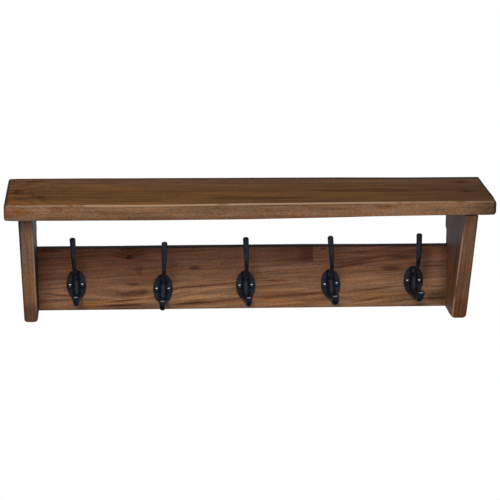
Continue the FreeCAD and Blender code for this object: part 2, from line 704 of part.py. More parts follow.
for item in doc.Objects:
    if "Invalid" in item.State or "Error" in item.State:
        raise RuntimeError(f"{item.Name} did not build: {item.State}")

os.makedirs("parts", exist_ok=True)
for node in nodes:
    shape = node.Shape
    if shape.isNull() or not shape.isValid():
        raise RuntimeError(f"{node.Label} is not a sound solid")
    shape.exportStep(f"parts/{node.Label}.step")
    box = shape.BoundBox
    print(f"{node.Label}: {len(shape.Solids)} solids, {shape.Volume:.0f} mm3,"
          f" x {box.XMin:.1f} to {box.XMax:.1f}, y {box.YMin:.1f} to {box.YMax:.1f},"
          f" z {box.ZMin:.1f} to {box.ZMax:.1f}")
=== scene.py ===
import math
from dataclasses import dataclass
from functools import partial, reduce
from itertools import product
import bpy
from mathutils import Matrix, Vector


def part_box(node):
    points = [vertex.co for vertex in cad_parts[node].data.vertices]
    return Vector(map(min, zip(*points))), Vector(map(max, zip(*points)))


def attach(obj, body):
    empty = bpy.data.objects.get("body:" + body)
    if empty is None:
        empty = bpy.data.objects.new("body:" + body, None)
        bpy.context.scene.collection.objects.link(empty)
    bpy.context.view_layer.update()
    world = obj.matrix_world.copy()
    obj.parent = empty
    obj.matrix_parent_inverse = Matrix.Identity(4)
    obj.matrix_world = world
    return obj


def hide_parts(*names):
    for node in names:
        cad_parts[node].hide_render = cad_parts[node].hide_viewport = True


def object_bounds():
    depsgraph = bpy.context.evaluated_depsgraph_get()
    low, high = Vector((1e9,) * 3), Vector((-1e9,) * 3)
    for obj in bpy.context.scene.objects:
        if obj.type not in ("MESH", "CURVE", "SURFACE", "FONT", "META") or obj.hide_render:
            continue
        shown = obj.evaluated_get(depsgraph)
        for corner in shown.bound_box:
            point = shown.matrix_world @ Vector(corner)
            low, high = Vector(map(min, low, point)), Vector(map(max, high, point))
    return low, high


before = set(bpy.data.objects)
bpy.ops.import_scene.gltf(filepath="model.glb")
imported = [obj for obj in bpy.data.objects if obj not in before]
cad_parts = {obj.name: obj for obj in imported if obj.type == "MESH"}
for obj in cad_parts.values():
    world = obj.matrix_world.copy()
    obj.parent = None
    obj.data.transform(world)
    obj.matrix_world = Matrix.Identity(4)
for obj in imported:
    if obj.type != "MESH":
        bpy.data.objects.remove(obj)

from types import SimpleNamespace
from typing import NamedTuple

import bmesh
import bpy
from mathutils import Matrix, Vector, noise

# A rustic wall coat rack: four stained boards with worn edges and five black cast iron double hooks.
# Lengths are in metres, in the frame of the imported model.

cad_low, cad_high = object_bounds()
scene = bpy.context.scene
MM = 0.001
ROOT = "root"
SIDES = ("left", "right")
WHITE = (1.0, 1.0, 1.0, 1.0)

# The camera stands to the left of the rack's middle and above it, turned a little to the right
CAMERA_PLACE = (-0.2526, -3.6136, 1.1238)
CAMERA_YAW = math.radians(4.16)
CAMERA_PITCH = math.radians(-16.484)
CAMERA_ROLL = math.radians(0.642)
CAMERA_LENS = {"lens": 138.69, "sensor_width": 36.0}

# Each lamp's place, width and power
LAMPS = {
    "key": ((-0.9, -3.2, 2.3), 0.9, 78.0),
    "fill": ((2.6, -2.4, 0.9), 2.0, 16.0),
}
AMBIENT_LEVEL = 0.5
FLOOR_DROP = 1.45
FLOOR_HALF = 9.0
FLOOR_COLOUR = (0.86, 0.86, 0.86, 1.0)
FLOOR_ROUGHNESS = 0.9


def mm(*lengths):
    return tuple(length * MM for length in lengths)


def new_object(name, data):
    thing = bpy.data.objects.new(name, data)
    scene.collection.objects.link(thing)
    return thing


def configure(thing, **settings):
    for name, value in settings.items():
        setattr(thing, name, value)
    return thing


class Nodes:
    """A node tree in the making."""

    def __init__(self, tree):
        self.nodes = tree.nodes
        self.links = tree.links

    def feed(self, socket, value):
        if isinstance(value, bpy.types.NodeSocket):
            self.links.new(value, socket)
        else:
            socket.default_value = value

    def node(self, kind, inputs, **settings):
        """A new node of a kind, with its settings, and its inputs fed by name or number."""
        node = configure(self.nodes.new(f"ShaderNode{kind}"), **settings)
        for name, value in inputs.items():
            self.feed(node.inputs[name], value)
        return node

    def math(self, operation, *values):
        return self.node("Math", dict(enumerate(values)), operation=operation).outputs[0]

    def by_ray(self, lighting, shown):
        """One shader for what it lights, and another for rays of the camera, of gloss and of glass."""
        path = self.node("LightPath", {})
        seen = path.outputs["Is Camera Ray"]
        for ray in ("Is Glossy Ray", "Is Transmission Ray"):
            seen = self.math("MAXIMUM", seen, path.outputs[ray])
        return self.node("MixShader", {0: seen, 1: lighting, 2: shown}).outputs["Shader"]


# Camera, light and floor
def add_camera():
    forward = Vector((
        math.sin(CAMERA_YAW) * math.cos(CAMERA_PITCH),
        math.cos(CAMERA_YAW) * math.cos(CAMERA_PITCH),
        math.sin(CAMERA_PITCH),
    ))
    level = Vector((math.cos(CAMERA_YAW), -math.sin(CAMERA_YAW), 0.0))
    upright = level.cross(forward)
    right = math.cos(CAMERA_ROLL) * level + math.sin(CAMERA_ROLL) * upright
    up = math.cos(CAMERA_ROLL) * upright - math.sin(CAMERA_ROLL) * level
    turn = Matrix((right, up, -forward)).transposed()
    camera = new_object("camera", configure(bpy.data.cameras.new("camera"), **CAMERA_LENS))
    camera.matrix_world = Matrix.Translation(CAMERA_PLACE) @ turn.to_4x4()
    scene.camera = camera


def add_world():
    """An even white surround, plain white where it is seen and softer where it lights."""
    world = bpy.data.worlds.new("studio")
    scene.world = world
    world.use_nodes = True
    world.node_tree.nodes.clear()
    tree = Nodes(world.node_tree)
    lighting, shown = (
        tree.node("Background", {"Color": WHITE, "Strength": strength}).outputs["Background"]
        for strength in (AMBIENT_LEVEL, 1.0)
    )
    tree.node("OutputWorld", {"Surface": tree.by_ray(lighting, shown)})


def add_lamps():
    middle = (cad_low + cad_high) / 2
    for name, (place, width, power) in LAMPS.items():
        data = configure(bpy.data.lights.new(name, "AREA"), shape="SQUARE", size=width, energy=power)
        lamp = new_object(name, data)
        lamp.location = place
        lamp.rotation_euler = (middle - Vector(place)).to_track_quat("-Z", "Y").to_euler()


def add_floor():
    mesh = bpy.data.meshes.new("floor")
    height = cad_low.z - FLOOR_DROP
    corners = [(x * FLOOR_HALF, y * FLOOR_HALF, height) for x, y in ((-1, -1), (1, -1), (1, 1), (-1, 1))]
    mesh.from_pydata(corners, [], [(0, 1, 2, 3)])
    floor = new_object("floor", mesh)
    f = Finish("pale_floor")
    f.set("Base Color", FLOOR_COLOUR)
    f.set("Roughness", FLOOR_ROUGHNESS)
    glow = f.node("Emission", {"Color": WHITE, "Strength": 1.0}).outputs["Emission"]
    surface = f.by_ray(f.shader.outputs["BSDF"], glow)
    f.feed(f.nodes["Material Output"].inputs["Surface"], surface)
    mesh.materials.append(f.material)


# Materials
class Bell(NamedTuple):
    """A zone that is full at its middle and fades to a third at its width. A plain pair is a soft step."""

    middle: float
    width: float


class Finish(Nodes):
    """A procedural material in the making. Its calls give back the outputs of the nodes they add."""

    def __init__(self, name):
        self.material = bpy.data.materials.new(name)
        self.material.use_nodes = True
        super().__init__(self.material.node_tree)
        self.shader = self.nodes["Principled BSDF"]

    def set(self, name, value):
        self.feed(self.shader.inputs[name], value)

    def add(self, *values):
        return reduce(partial(self.math, "ADD"), values)

    def times(self, *values):
        return reduce(partial(self.math, "MULTIPLY"), values)

    def less(self, first, second):
        return self.math("SUBTRACT", first, second)

    def either(self, first, second):
        return self.math("MAXIMUM", first, second)

    def scaled(self, value, gain, start):
        """The start plus the gain times the value."""
        return self.math("MULTIPLY_ADD", value, gain, start)

    def swing(self, value, reach):
        """Noise of about 0.5 as a number about zero, within a reach."""
        return self.times(self.less(value, 0.5), reach)

    def combine(self, *parts):
        return self.node("CombineXYZ", dict(enumerate(parts))).outputs[0]

    def split(self, output):
        return tuple(self.node("SeparateXYZ", {0: output}).outputs)

    def place(self):
        """The point of the surface, in the frame of the part, as three numbers."""
        return self.split(self.node("TexCoord", {}).outputs["Object"])

    def facing(self):
        """The direction that the surface faces, as three numbers."""
        return self.split(self.node("NewGeometry", {}).outputs["True Normal"])

    def noise(self, x, y, z, detail, roughness):
        """Noise of about 0.5, whose cells are one unit long."""
        inputs = {"Vector": self.combine(x, y, z), "Scale": 1.0, "Detail": detail, "Roughness": roughness}
        return self.node("TexNoise", inputs).outputs[0]

    def cells(self, place, counts, detail, roughness=0.6):
        """Noise with so many cells a metre along each axis."""
        return self.noise(*map(self.times, place, counts), detail, roughness)

    def smooth(self, value, low, high):
        """0 at low, 1 at high and a soft step between them, also where low is the larger."""
        start, end = (0.0, 1.0) if low < high else (1.0, 0.0)
        inputs = {"Value": value, "From Min": min(low, high), "From Max": max(low, high)}
        inputs |= {"To Min": start, "To Max": end}
        return self.node("MapRange", inputs, interpolation_type="SMOOTHSTEP").outputs["Result"]

    def bell(self, value, middle, width):
        """1 at the middle, falling to a third at the width on both sides."""
        away = self.times(self.less(value, middle), 1.0 / width)
        return self.math("EXPONENT", self.times(away, away, -1.0))

    def zone(self, value, zone):
        return self.bell(value, *zone) if isinstance(zone, Bell) else self.smooth(value, *zone)

    def ramp(self, factor, stops):
        node = self.node("ValToRGB", {"Fac": factor})
        elements = node.color_ramp.elements
        while len(elements) < len(stops):
            elements.new(0.5)
        for element, (position, colour) in zip(elements, stops):
            element.position = position
            element.color = (*colour, 1.0)
        return node.outputs["Color"]

    def mix(self, factor, first, second, blend="MIX"):
        first, second = ((*value, 1.0) if isinstance(value, tuple) else value for value in (first, second))
        inputs = {"Factor": factor, 6: first, 7: second}
        return self.node("Mix", inputs, data_type="RGBA", blend_type=blend, clamp_factor=True).outputs[2]

    def tint(self, colour, factor, tone):
        """The colour times the tone where the factor is 1."""
        return self.mix(factor, colour, tone, "MULTIPLY")

    def attribute(self, name):
        return self.node("Attribute", {}, attribute_name=name).outputs["Fac"]

    def bump(self, height, depth, strength):
        inputs = {"Height": height, "Distance": depth, "Strength": strength}
        self.set("Normal", self.node("Bump", inputs).outputs["Normal"])


EDGE = "edge_distance"
WORN_TONE = (0.37, 0.235, 0.145)
LATE_WOOD_TONE = (0.5, 0.4, 0.34)
PORE_TONE = (0.4, 0.33, 0.3)
ORANGE = (1.07, 0.98, 0.88)
PURPLE = (0.95, 1.0, 1.09)


class Grain:
    """The layers of a board's figure: slow bands, growth lines, flecks, fibres and pores, about its pith."""

    # Changes a metre, along the grain and across it
    BEND = (2.3, 7)
    WAVE = (13, 30)
    BANDS = (1.3, 45)
    FINE = (9, 330)
    STRENGTH = (5, 80)
    FIBRE = (18, 1000)
    FLECKS = (230, 520)
    HUE = (28, 95)
    PORES = (110, 1700)
    MOTTLE = (8, 18)
    RUNS = (14, 25)
    LUMPS = (25, 70)
    # How many seasons the bands and the fine streaks shift the growth lines
    BAND_SHIFT = 2.4
    FINE_SHIFT = 0.25
    ROUGHNESS = 0.4
    RELIEF = 0.35 * MM

    def __init__(self, finish, axes, pith, seed, spacing, slope=0.0, hills=(), bend=0.016, wave=0.004,
                 place=None):
        self.finish = f = finish
        self.seed = seed
        self.x, self.y, self.z = place or f.place()
        self.along, self.across, self.through = (getattr(self, axis) for axis in axes)
        waves = f.swing(self.cells(self.BEND), bend), f.swing(self.cells(self.WAVE), wave)
        shifted = f.add(self.across, *waves, f.times(self.along, slope))
        for height, middle, level, length, width in hills:
            hill = f.times(f.bell(self.along, middle, length), f.bell(self.across, level, width))
            shifted = f.add(shifted, f.times(hill, height))
        out = f.less(shifted, pith[0])
        deep = f.less(self.through, pith[1])
        ring = f.math("SQRT", f.add(f.times(out, out), f.times(deep, deep)))
        self.bands = self.streaks(ring, self.BANDS, 3)
        self.fine = self.streaks(ring, self.FINE)
        shifts = f.times(self.bands, self.BAND_SHIFT), f.times(self.fine, self.FINE_SHIFT)
        season = f.math("FRACT", f.add(f.times(ring, 1.0 / spacing), *shifts))
        late = f.times(f.smooth(season, 0.35, 0.9), f.smooth(season, 1.0, 0.93))
        self.lines = f.times(late, f.smooth(self.streaks(ring, self.STRENGTH), 0.35, 0.65))
        self.fibre = self.cells(self.FIBRE)
        self.flecks = self.cells(self.FLECKS, 1)
        self.hue = self.cells(self.HUE, 3)
        self.pores = f.smooth(self.cells(self.PORES, 1), 0.6, 0.7)
        self.mottle = self.cells(self.MOTTLE, 4)
        self.edge = f.attribute(EDGE)

    def cells(self, changes, detail=2):
        """Noise that changes so many times a metre along the grain and across it."""
        f = self.finish
        along = f.add(f.times(self.along, changes[0]), self.seed)
        sideways = (f.times(part, changes[1]) for part in (self.across, self.through))
        return f.noise(along, *sideways, detail, 0.55)

    def streaks(self, ring, changes, detail=2):
        """Noise drawn out along the growth rings."""
        f = self.finish
        along = f.add(f.times(self.along, changes[0]), self.seed)
        return f.noise(along, f.times(ring, changes[1]), self.seed, detail, 0.6)

    def colour(self, middle, spread, depth, flecks, streak=1.2):
        """The middle tone, darker and paler by the spread over the bands, with lines, flecks and pores."""
        f = self.finish
        dark, pale = (tuple(level * part for part in middle) for level in (1.0 - spread, 1.0 + spread))
        colour = f.ramp(self.bands, [(0.3, dark), (0.5, middle), (0.7, pale)])
        colour = f.tint(colour, f.times(self.lines, depth), LATE_WOOD_TONE)
        shade = f.times(f.scaled(self.fine, streak, 1.0 - streak / 2), f.scaled(self.fibre, 0.7, 0.65),
                        f.scaled(self.flecks, flecks, 1.0 - flecks / 2))
        colour = f.tint(colour, 1.0, f.combine(shade, shade, shade))
        colour = f.tint(colour, 1.0, f.ramp(self.hue, [(0.38, ORANGE), (0.62, PURPLE)]))
        return f.tint(colour, f.times(self.pores, 0.55), PORE_TONE)

    def spot(self, ragged, middle, level, length, width, slope=0.0):
        """1 at a place on the board, fading over its reach both ways, with a ragged rim."""
        f = self.finish
        along = f.less(self.along, middle)
        across = f.less(f.less(self.across, level), f.times(along, slope))
        along = f.times(along, 1.0 / length)
        across = f.times(across, 1.0 / width)
        far = f.math("SQRT", f.add(f.times(along, along), f.times(across, across)))
        rim = f.add(far, f.swing(self.mottle, 1.6 * ragged), f.swing(self.fine, 0.9 * ragged))
        return f.smooth(rim, 1.25, 0.35)

    def stain(self, colour, marks):
        """Tints the colour at the marks of each kind."""
        f = self.finish
        for tone, strength, ragged, places in marks.values():
            for place in places:
                colour = f.tint(colour, f.times(self.spot(ragged, *place), strength), tone)
        return colour

    def shade(self, colour, tones):
        """Tints the colour over zones along the grain and, for some, across it."""
        f = self.finish
        for along, across, tone in tones:
            zone = f.zone(self.along, along)
            if across:
                zone = f.times(zone, f.zone(self.across, across))
            colour = f.tint(colour, zone, tone)
        return colour

    def rubbed(self, near, low, high):
        """Where an edge is rubbed pale: near it, in broken runs."""
        f = self.finish
        return f.times(near, f.smooth(self.cells(self.RUNS, 4), low, high))

    def finish_board(self, colour, gloss):
        f = self.finish
        f.set("Base Color", colour)
        f.set("Roughness", f.scaled(self.fine, 0.3, self.ROUGHNESS))
        f.set("Specular IOR Level", gloss)
        lumps = self.cells(self.LUMPS)
        layers = (self.lines, -0.4), (self.fine, 0.4), (self.fibre, 0.3), (lumps, 0.9), (self.pores, -0.3)
        f.bump(f.add(*(f.times(*layer) for layer in layers)), self.RELIEF, 0.6)
        return f.material


# Marks by kind: their tone, strength and raggedness, and each one's place along and across the grain, its
# reach along and across it and, for some, its slope
SHELF_MARKS = {
    "gold": ((1.12, 1.1, 0.95), 1.0, 1.0, [
        (-0.28, -0.1, 0.09, 0.03), (-0.03, -0.12, 0.12, 0.03), (0.2, -0.14, 0.1, 0.02),
    ]),
    "red": ((0.82, 0.56, 0.42), 0.85, 1.0, [
        (-0.444, -0.03, 0.011, 0.035), (-0.406, -0.027, 0.022, 0.009), (-0.43, -0.1, 0.01, 0.022),
        (0.419, -0.042, 0.028, 0.012), (0.42, -0.113, 0.034, 0.016),
    ]),
    "dark": ((0.46, 0.38, 0.33), 0.7, 1.5, [
        (-0.428, -0.086, 0.018, 0.007), (-0.437, -0.1, 0.005, 0.02), (-0.4265, -0.15, 0.016, 0.007),
        (-0.4, -0.135, 0.026, 0.014), (-0.408, -0.022, 0.026, 0.007), (-0.425, -0.05, 0.022, 0.006),
        (0.02, -0.15, 0.12, 0.012), (0.24, -0.1, 0.16, 0.014), (0.4165, -0.042, 0.011, 0.008),
        (0.416, -0.113, 0.012, 0.008), (0.412, -0.088, 0.016, 0.007),
    ]),
}
# Marks on the shelf's front: their places and reaches along it and up it, and their tones
SHELF_FRONT_MARKS = [
    (-0.4255, 0.185, 0.018, 0.0065, (1.12, 0.78, 0.45)),
    (-0.361, 0.189, 0.016, 0.007, (0.72, 0.55, 0.5)),
    (0.245, 0.189, 0.022, 0.007, (0.85, 0.68, 0.6)),
]
# Zones along and across a board, and their tones
SHELF_TOP_TONES = [
    ((0.05, -0.05), (-0.13, -0.172), (1.3, 1.34, 1.3)),
    ((0.18, 0.44), None, (0.7, 0.74, 0.84)),
    ((-0.36, -0.42), None, (1.02, 0.96, 0.88)),
]
SHELF_FRONT_TONES = [
    ((0.375, 0.452), None, (0.49, 0.465, 0.55)),
    ((-0.38, -0.45), None, (0.8, 0.74, 0.68)),
    (Bell(0.28, 0.13), None, (1.1, 1.09, 1.1)),
]
SHELF_TOP = (0.124, 0.0545, 0.0172)
SHELF_BACK_HALF = (0.168, 0.093, 0.0495)
SHELF_FRONT = (0.194, 0.105, 0.0556)
SHELF_RIM_SHADE = (0.27, 0.27, 0.3)
SHELF_BLOTCHES = (55, 75, 75)
# Where the parts of the shelf begin and are full, from back to front, along it and up it
BACK_HALF = (-0.085, -0.01)
BACK_SHADE_LINE = (-0.0175, -0.009)
FRONT_RIM = (-0.183, -0.187)
BLOTCHED_END = (-0.3, -0.39)
LEFT_END = (-0.37, -0.42)
END_SHADE_LINE = (0.4495, 0.4545)
TOP_RIM = (0.189, 0.193)
FRONT_BOTTOM_SHADE = (0.1735, 0.1705)
LOWER_SHEEN_RIM = (0.178, 0.17)
UPPER_SHEEN_RIM = (0.188, 0.194)
SQUARELY = (0.8, 0.97)


def shelf_top(grain):
    f = grain.finish
    top = grain.colour(SHELF_TOP, spread=0.3, depth=0.4, flecks=1.1, streak=1.7)
    back_half = grain.colour(SHELF_BACK_HALF, spread=0.25, depth=0.4, flecks=1.1, streak=1.7)
    top = f.mix(f.times(f.smooth(grain.y, *BACK_HALF), 0.6), top, back_half)
    top = grain.stain(top, SHELF_MARKS)
    top = grain.shade(top, SHELF_TOP_TONES)
    blotches = f.cells((grain.x, grain.y, grain.z), SHELF_BLOTCHES, 4, 0.65)
    blotched_end = f.smooth(grain.x, *BLOTCHED_END)
    top = f.tint(top, f.times(blotched_end, f.smooth(blotches, 0.48, 0.66)), (0.74, 0.67, 0.65))
    return f.tint(top, f.times(blotched_end, f.smooth(blotches, 0.52, 0.36)), (1.12, 1.15, 1.18))


def shelf_front(grain, left_end):
    f = grain.finish
    front = grain.colour(SHELF_FRONT, spread=0.25, depth=0.2, flecks=1.2)
    for along, level, length, height, tone in SHELF_FRONT_MARKS:
        blotch = f.times(f.bell(grain.x, along, length), f.bell(grain.z, level, height))
        blotch = f.smooth(f.add(blotch, f.swing(grain.hue, 0.8)), 0.35, 0.75)
        front = f.tint(front, f.times(blotch, 0.8), tone)
    front = grain.shade(front, SHELF_FRONT_TONES)
    # Painted shade along the front's bottom edge, except at the left end
    bottom_shade = f.times(f.smooth(grain.z, *FRONT_BOTTOM_SHADE), f.less(1.0, left_end))
    front = f.tint(front, bottom_shade, (0.75, 0.7, 0.7))
    # Painted sheen, pale and bluish, on the front's top and bottom rims at the left end
    sheen_rims = f.either(f.smooth(grain.z, *LOWER_SHEEN_RIM), f.smooth(grain.z, *UPPER_SHEEN_RIM))
    return f.tint(front, f.times(sheen_rims, left_end), (1.15, 1.42, 1.8))


def shelf_wood():
    f = Finish("shelf_wood")
    grain = Grain(f, "xyz", (0.06, -0.16), 3.1, spacing=9 * MM)
    facing = f.facing()
    left_end = f.smooth(grain.x, *LEFT_END)
    on_front = f.smooth(facing[1], -0.45, -0.75)
    colour = f.mix(on_front, shelf_top(grain), shelf_front(grain, left_end))
    # The front top edge is worn pale, least towards both ends
    rim = f.times(f.smooth(grain.y, *FRONT_RIM), f.smooth(grain.z, *TOP_RIM))
    fading = f.scaled(f.smooth(grain.x, 0.15, 0.44), -0.6, 1.0)
    along = f.times(f.smooth(grain.x, -0.43, -0.31), fading)
    worn = grain.rubbed(f.smooth(grain.edge, 4 * MM, 0.8 * MM), 0.335, 0.435)
    colour = f.mix(f.times(worn, rim, along), colour, WORN_TONE)
    # The back edge and the ends get painted shade, less of it on the back and end faces themselves
    towards_right = f.scaled(f.smooth(grain.x, -0.25, 0.25), 0.7, 0.3)
    back_shade = f.times(f.smooth(grain.y, *BACK_SHADE_LINE), towards_right)
    end_shade = f.smooth(f.math("ABSOLUTE", grain.x), *END_SHADE_LINE)
    end_shade = f.times(end_shade, f.scaled(f.times(on_front, left_end), -0.7, 1.0))
    end_face = f.smooth(f.math("ABSOLUTE", facing[0]), *SQUARELY)
    rim_share = f.scaled(f.either(f.smooth(facing[1], *SQUARELY), end_face), -0.55, 1.0)
    colour = f.tint(colour, f.times(f.either(back_shade, end_shade), rim_share), SHELF_RIM_SHADE)
    return grain.finish_board(colour, gloss=0.006)


# A bracket's faces and grain, its tones with painted shade and painted sheen, and where its inner edge is
# rubbed
BRACKETS = {
    "left": SimpleNamespace(
        inner=-0.4046, outer=-0.43, pith=(-0.8, -0.16), seed=5.7,
        front=(0.152, 0.088, 0.054), lower_front=(0.168, 0.083, 0.041), foot=(0.107, 0.048, 0.029),
        inside_up_wood_and_sheen=(0.06, 0.06, 0.072), inside_low_wood_and_shade=(0.032, 0.024, 0.022), inside_change=(0.08, 0.125),
        under_shelf_shade=(0.55, 0.52, 0.54), rub=0.55, rub_zones=[(-0.042, -0.012), (0.15, 0.12)]),
    "right": SimpleNamespace(
        inner=0.3986, outer=0.4262, pith=(0.1, -0.16), seed=8.2,
        front=(0.159, 0.087, 0.049), lower_front=(0.134, 0.063, 0.0335), foot=(0.117, 0.045, 0.02),
        inside_up_wood_and_sheen=(0.105, 0.058, 0.062), inside_low_wood_and_shade=(0.158, 0.072, 0.033), inside_change=(0.03, 0.1),
        under_shelf_shade=(0.7, 0.68, 0.7), rub=0.7, rub_zones=[(0.15, 0.14)]),
}
# A bracket's depth at a height, as a share of its depth at the top
BRACKET_FOOT_SHARE = 97 / 184
BRACKET_SLOPE = (1.0 - BRACKET_FOOT_SHARE) / 0.2314
BRACKET_SHARE = 1.0 - BRACKET_SLOPE * 0.16915
# Heights and depths at which a bracket's tones change
BRACKET_LOWER = (0.1, 0.02)
BRACKET_FOOT = (-0.002, -0.032)
BRACKET_UNDER_SHELF = (0.138, 0.162)
BRACKET_FOOT_SHADE = (-0.0585, -0.0605)
BRACKET_SEAM = Bell(-0.146, 0.008)
BRACKET_BACK = (-0.02, -0.008)
BRACKET_FRONT = (-0.176, -0.18)
BRACKET_EDGE = mm(3.5, 1.5)
BRACKET_RIM_SHADE = (0.38, 0.33, 0.35)
BRACKET_SEAM_TONE = (0.36, 0.32, 0.34)


def bracket_wood(side):
    f = Finish(f"{side}_bracket_wood")
    plan = BRACKETS[side]
    outward = math.copysign(1.0, plan.outer)
    x, y, z = f.place()
    depth = f.math("DIVIDE", y, f.scaled(z, BRACKET_SLOPE, BRACKET_SHARE))
    grain = Grain(f, "zxy", plan.pith, plan.seed, spacing=6 * MM, bend=0.006, wave=0.002, place=(x, depth, z))
    facing = f.facing()
    front = grain.colour(plan.front, spread=0.25, depth=0.3, flecks=0.9)
    lower_front = grain.colour(plan.lower_front, spread=0.25, depth=0.3, flecks=0.9)
    foot = grain.colour(plan.foot, spread=0.3, depth=0.4, flecks=1.2)
    colour = f.mix(f.smooth(grain.z, *BRACKET_LOWER), front, lower_front)
    colour = f.mix(f.smooth(f.add(grain.z, f.swing(grain.mottle, 0.05)), *BRACKET_FOOT), colour, foot)
    # Painted shade at the top of the front, under the shelf
    colour = f.tint(colour, f.smooth(grain.z, *BRACKET_UNDER_SHELF), plan.under_shelf_shade)
    # Inner faces: the upper part is the wood greyed by a painted sheen, and on the left the lower part is
    # darkened by painted shade
    inside_low_wood_and_shade = grain.colour(plan.inside_low_wood_and_shade, spread=0.25, depth=0.5, flecks=0.6)
    inside_up_wood_and_sheen = grain.colour(plan.inside_up_wood_and_sheen, spread=0.3, depth=0.6, flecks=0.6, streak=1.8)
    inside = f.mix(f.smooth(grain.z, *plan.inside_change), inside_low_wood_and_shade, inside_up_wood_and_sheen)
    seam = f.zone(f.add(grain.y, f.swing(grain.bands, 0.02)), BRACKET_SEAM)
    seam_or_back = f.either(f.times(seam, 0.7), f.smooth(grain.y, *BRACKET_BACK))
    inside = f.tint(inside, seam_or_back, BRACKET_SEAM_TONE)
    colour = f.mix(f.smooth(f.times(facing[0], -outward), 0.5, 0.9), colour, inside)
    # The front inner edge is rubbed pale, and the outer edge and the foot's rim get painted shade
    out = f.times(f.less(grain.x, plan.inner), outward)
    near = f.times(f.smooth(out, *BRACKET_EDGE), f.smooth(grain.y, *BRACKET_FRONT),
                   f.smooth(grain.edge, 3.5 * MM, 1 * MM))
    zones = [f.smooth(grain.z, *zone) for zone in plan.rub_zones]
    worn = f.times(grain.rubbed(near, 0.36, 0.5), *zones, plan.rub)
    colour = f.mix(worn, colour, WORN_TONE)
    outer_edge = f.smooth(out, *(abs(plan.outer - plan.inner) - inset for inset in BRACKET_EDGE))
    colour = f.tint(colour, f.either(outer_edge, f.smooth(grain.z, *BRACKET_FOOT_SHADE)), BRACKET_RIM_SHADE)
    return grain.finish_board(colour, gloss=0.03)


# Hills in the rail's growth lines: heights, places and reaches
RAIL_HILLS = [(0.02, -0.205, -0.036, 0.062, 0.017), (0.012, -0.228, 0.05, 0.022, 0.014)]
RAIL_MARKS = {
    "orange spots": ((1.2, 1.06, 0.78), 1.0, 1.0, [
        (-0.1439, 0.0553, 0.007, 0.008), (-0.3, -0.05, 0.03, 0.006), (0.0553, -0.0458, 0.05, 0.0035),
        (0.2474, -0.036, 0.05, 0.004),
    ]),
    "cloud at the knot": ((0.66, 0.54, 0.56), 0.75, 1.0, [
        (-0.226, 0.0495, 0.034, 0.016), (-0.2076, 0.0167, 0.01, 0.014),
    ]),
    "knot": ((0.3, 0.24, 0.24), 0.85, 1.0, [(-0.227, 0.0445, 0.0065, 0.0045)]),
    "pale lines": ((1.28, 1.24, 1.12), 1.0, 0.6, [
        (-0.222, -0.0385, 0.055, 0.0034, 0.08), (-0.23, -0.0482, 0.06, 0.0026, 0.05),
        (-0.21, -0.018, 0.045, 0.0045, 0.03), (-0.18, -0.052, 0.03, 0.006, 0.1),
        (-0.08, -0.037, 0.07, 0.004, 0.1), (-0.06, -0.053, 0.07, 0.004, 0.06),
        (-0.09, -0.024, 0.06, 0.003, 0.1), (0.0787, -0.0234, 0.07, 0.006),
        (0.07, -0.053, 0.06, 0.004, 0.05), (0.24, -0.008, 0.09, 0.012, 0.06),
        (0.25, -0.053, 0.07, 0.004, 0.12), (-0.245, -0.0475, 0.09, 0.006, 0.04),
        (-0.1, -0.045, 0.05, 0.003, 0.1), (0.12, -0.052, 0.05, 0.004, 0.06),
        (0.275, -0.0395, 0.07, 0.0045, 0.1),
    ]),
    "flames": ((0.38, 0.31, 0.33), 0.9, 0.45, [
        (-0.213, -0.0282, 0.04, 0.0085, 0.06), (-0.219, -0.0105, 0.02, 0.0035),
        (-0.2353, -0.0435, 0.034, 0.0028, 0.08), (-0.2393, -0.0528, 0.046, 0.0034, 0.03),
        (-0.11, -0.05, 0.04, 0.0034, 0.12),
    ]),
    "red streaks": ((0.52, 0.38, 0.36), 0.85, 0.7, [
        (0.09, -0.035, 0.1, 0.0058, 0.05), (0.06, -0.0056, 0.03, 0.0022),
        (-0.05, -0.046, 0.06, 0.0022, 0.12), (-0.07, -0.014, 0.08, 0.002, 0.08),
        (0.2255, 0.0343, 0.06, 0.0042, 0.14), (0.21, 0.0246, 0.05, 0.003, 0.14),
        (0.24, 0.052, 0.08, 0.0035, 0.06), (0.306, 0.041, 0.03, 0.004, 0.05),
        (0.241, -0.0273, 0.05, 0.0028, 0.1), (0.2476, -0.046, 0.035, 0.003, 0.16),
        (0.375, 0.0215, 0.035, 0.003), (0.375, -0.0205, 0.035, 0.0024),
        (-0.37, -0.03, 0.035, 0.0026, -0.1),
    ]),
    "dark spots": ((0.48, 0.4, 0.45), 0.9, 0.7, [
        (-0.0996, 0.0221, 0.0105, 0.0045), (0.2893, 0.0176, 0.024, 0.0075), (0.152, 0.0589, 0.008, 0.0035),
        (-0.375, 0.0595, 0.03, 0.004),
    ]),
    "burn": ((0.42, 0.36, 0.42), 0.9, 0.3, [(0.38, -0.0445, 0.028, 0.0165)]),
}
RAIL_TONES = [
    ((-0.1, -0.2), (0.01, -0.02), (0.82, 0.79, 0.79)),
    ((-0.1, -0.2), (-0.02, 0.01), (0.86, 0.79, 0.74)),
    ((-0.32, -0.37), None, (1.2, 1.18, 1.24)),
    (Bell(0.09, 0.07), (0.0, -0.02), (0.9, 0.86, 0.84)),
    (Bell(-0.08, 0.06), Bell(0.005, 0.014), (0.94, 0.91, 0.85)),
    ((0.18, 0.25), (0.005, 0.03), (1.22, 1.14, 1.06)),
    ((0.34, 0.375), None, (1.34, 1.39, 1.46)),
    # Painted shadow at the far right end, beside the bracket
    ((0.378, 0.396), None, (0.66, 0.64, 0.63)),
]
RAIL_UPPER = (0.148, 0.069, 0.043)
RAIL_LOWER = (0.218, 0.1165, 0.0628)
RAIL_CHANGE = (0.05, -0.04)
RAIL_BOTTOM_SHADE = (-0.0595, -0.0618)
# A dark board end shows along the top: it begins softly and stops at a line
DARK_START = (0.015, 0.085)
DARK_DEEPEST = (0.0928, 0.1178)
DARK_END = (0.1348, 0.1308)
DARK_BOTTOM = (0.0295, 0.0355)


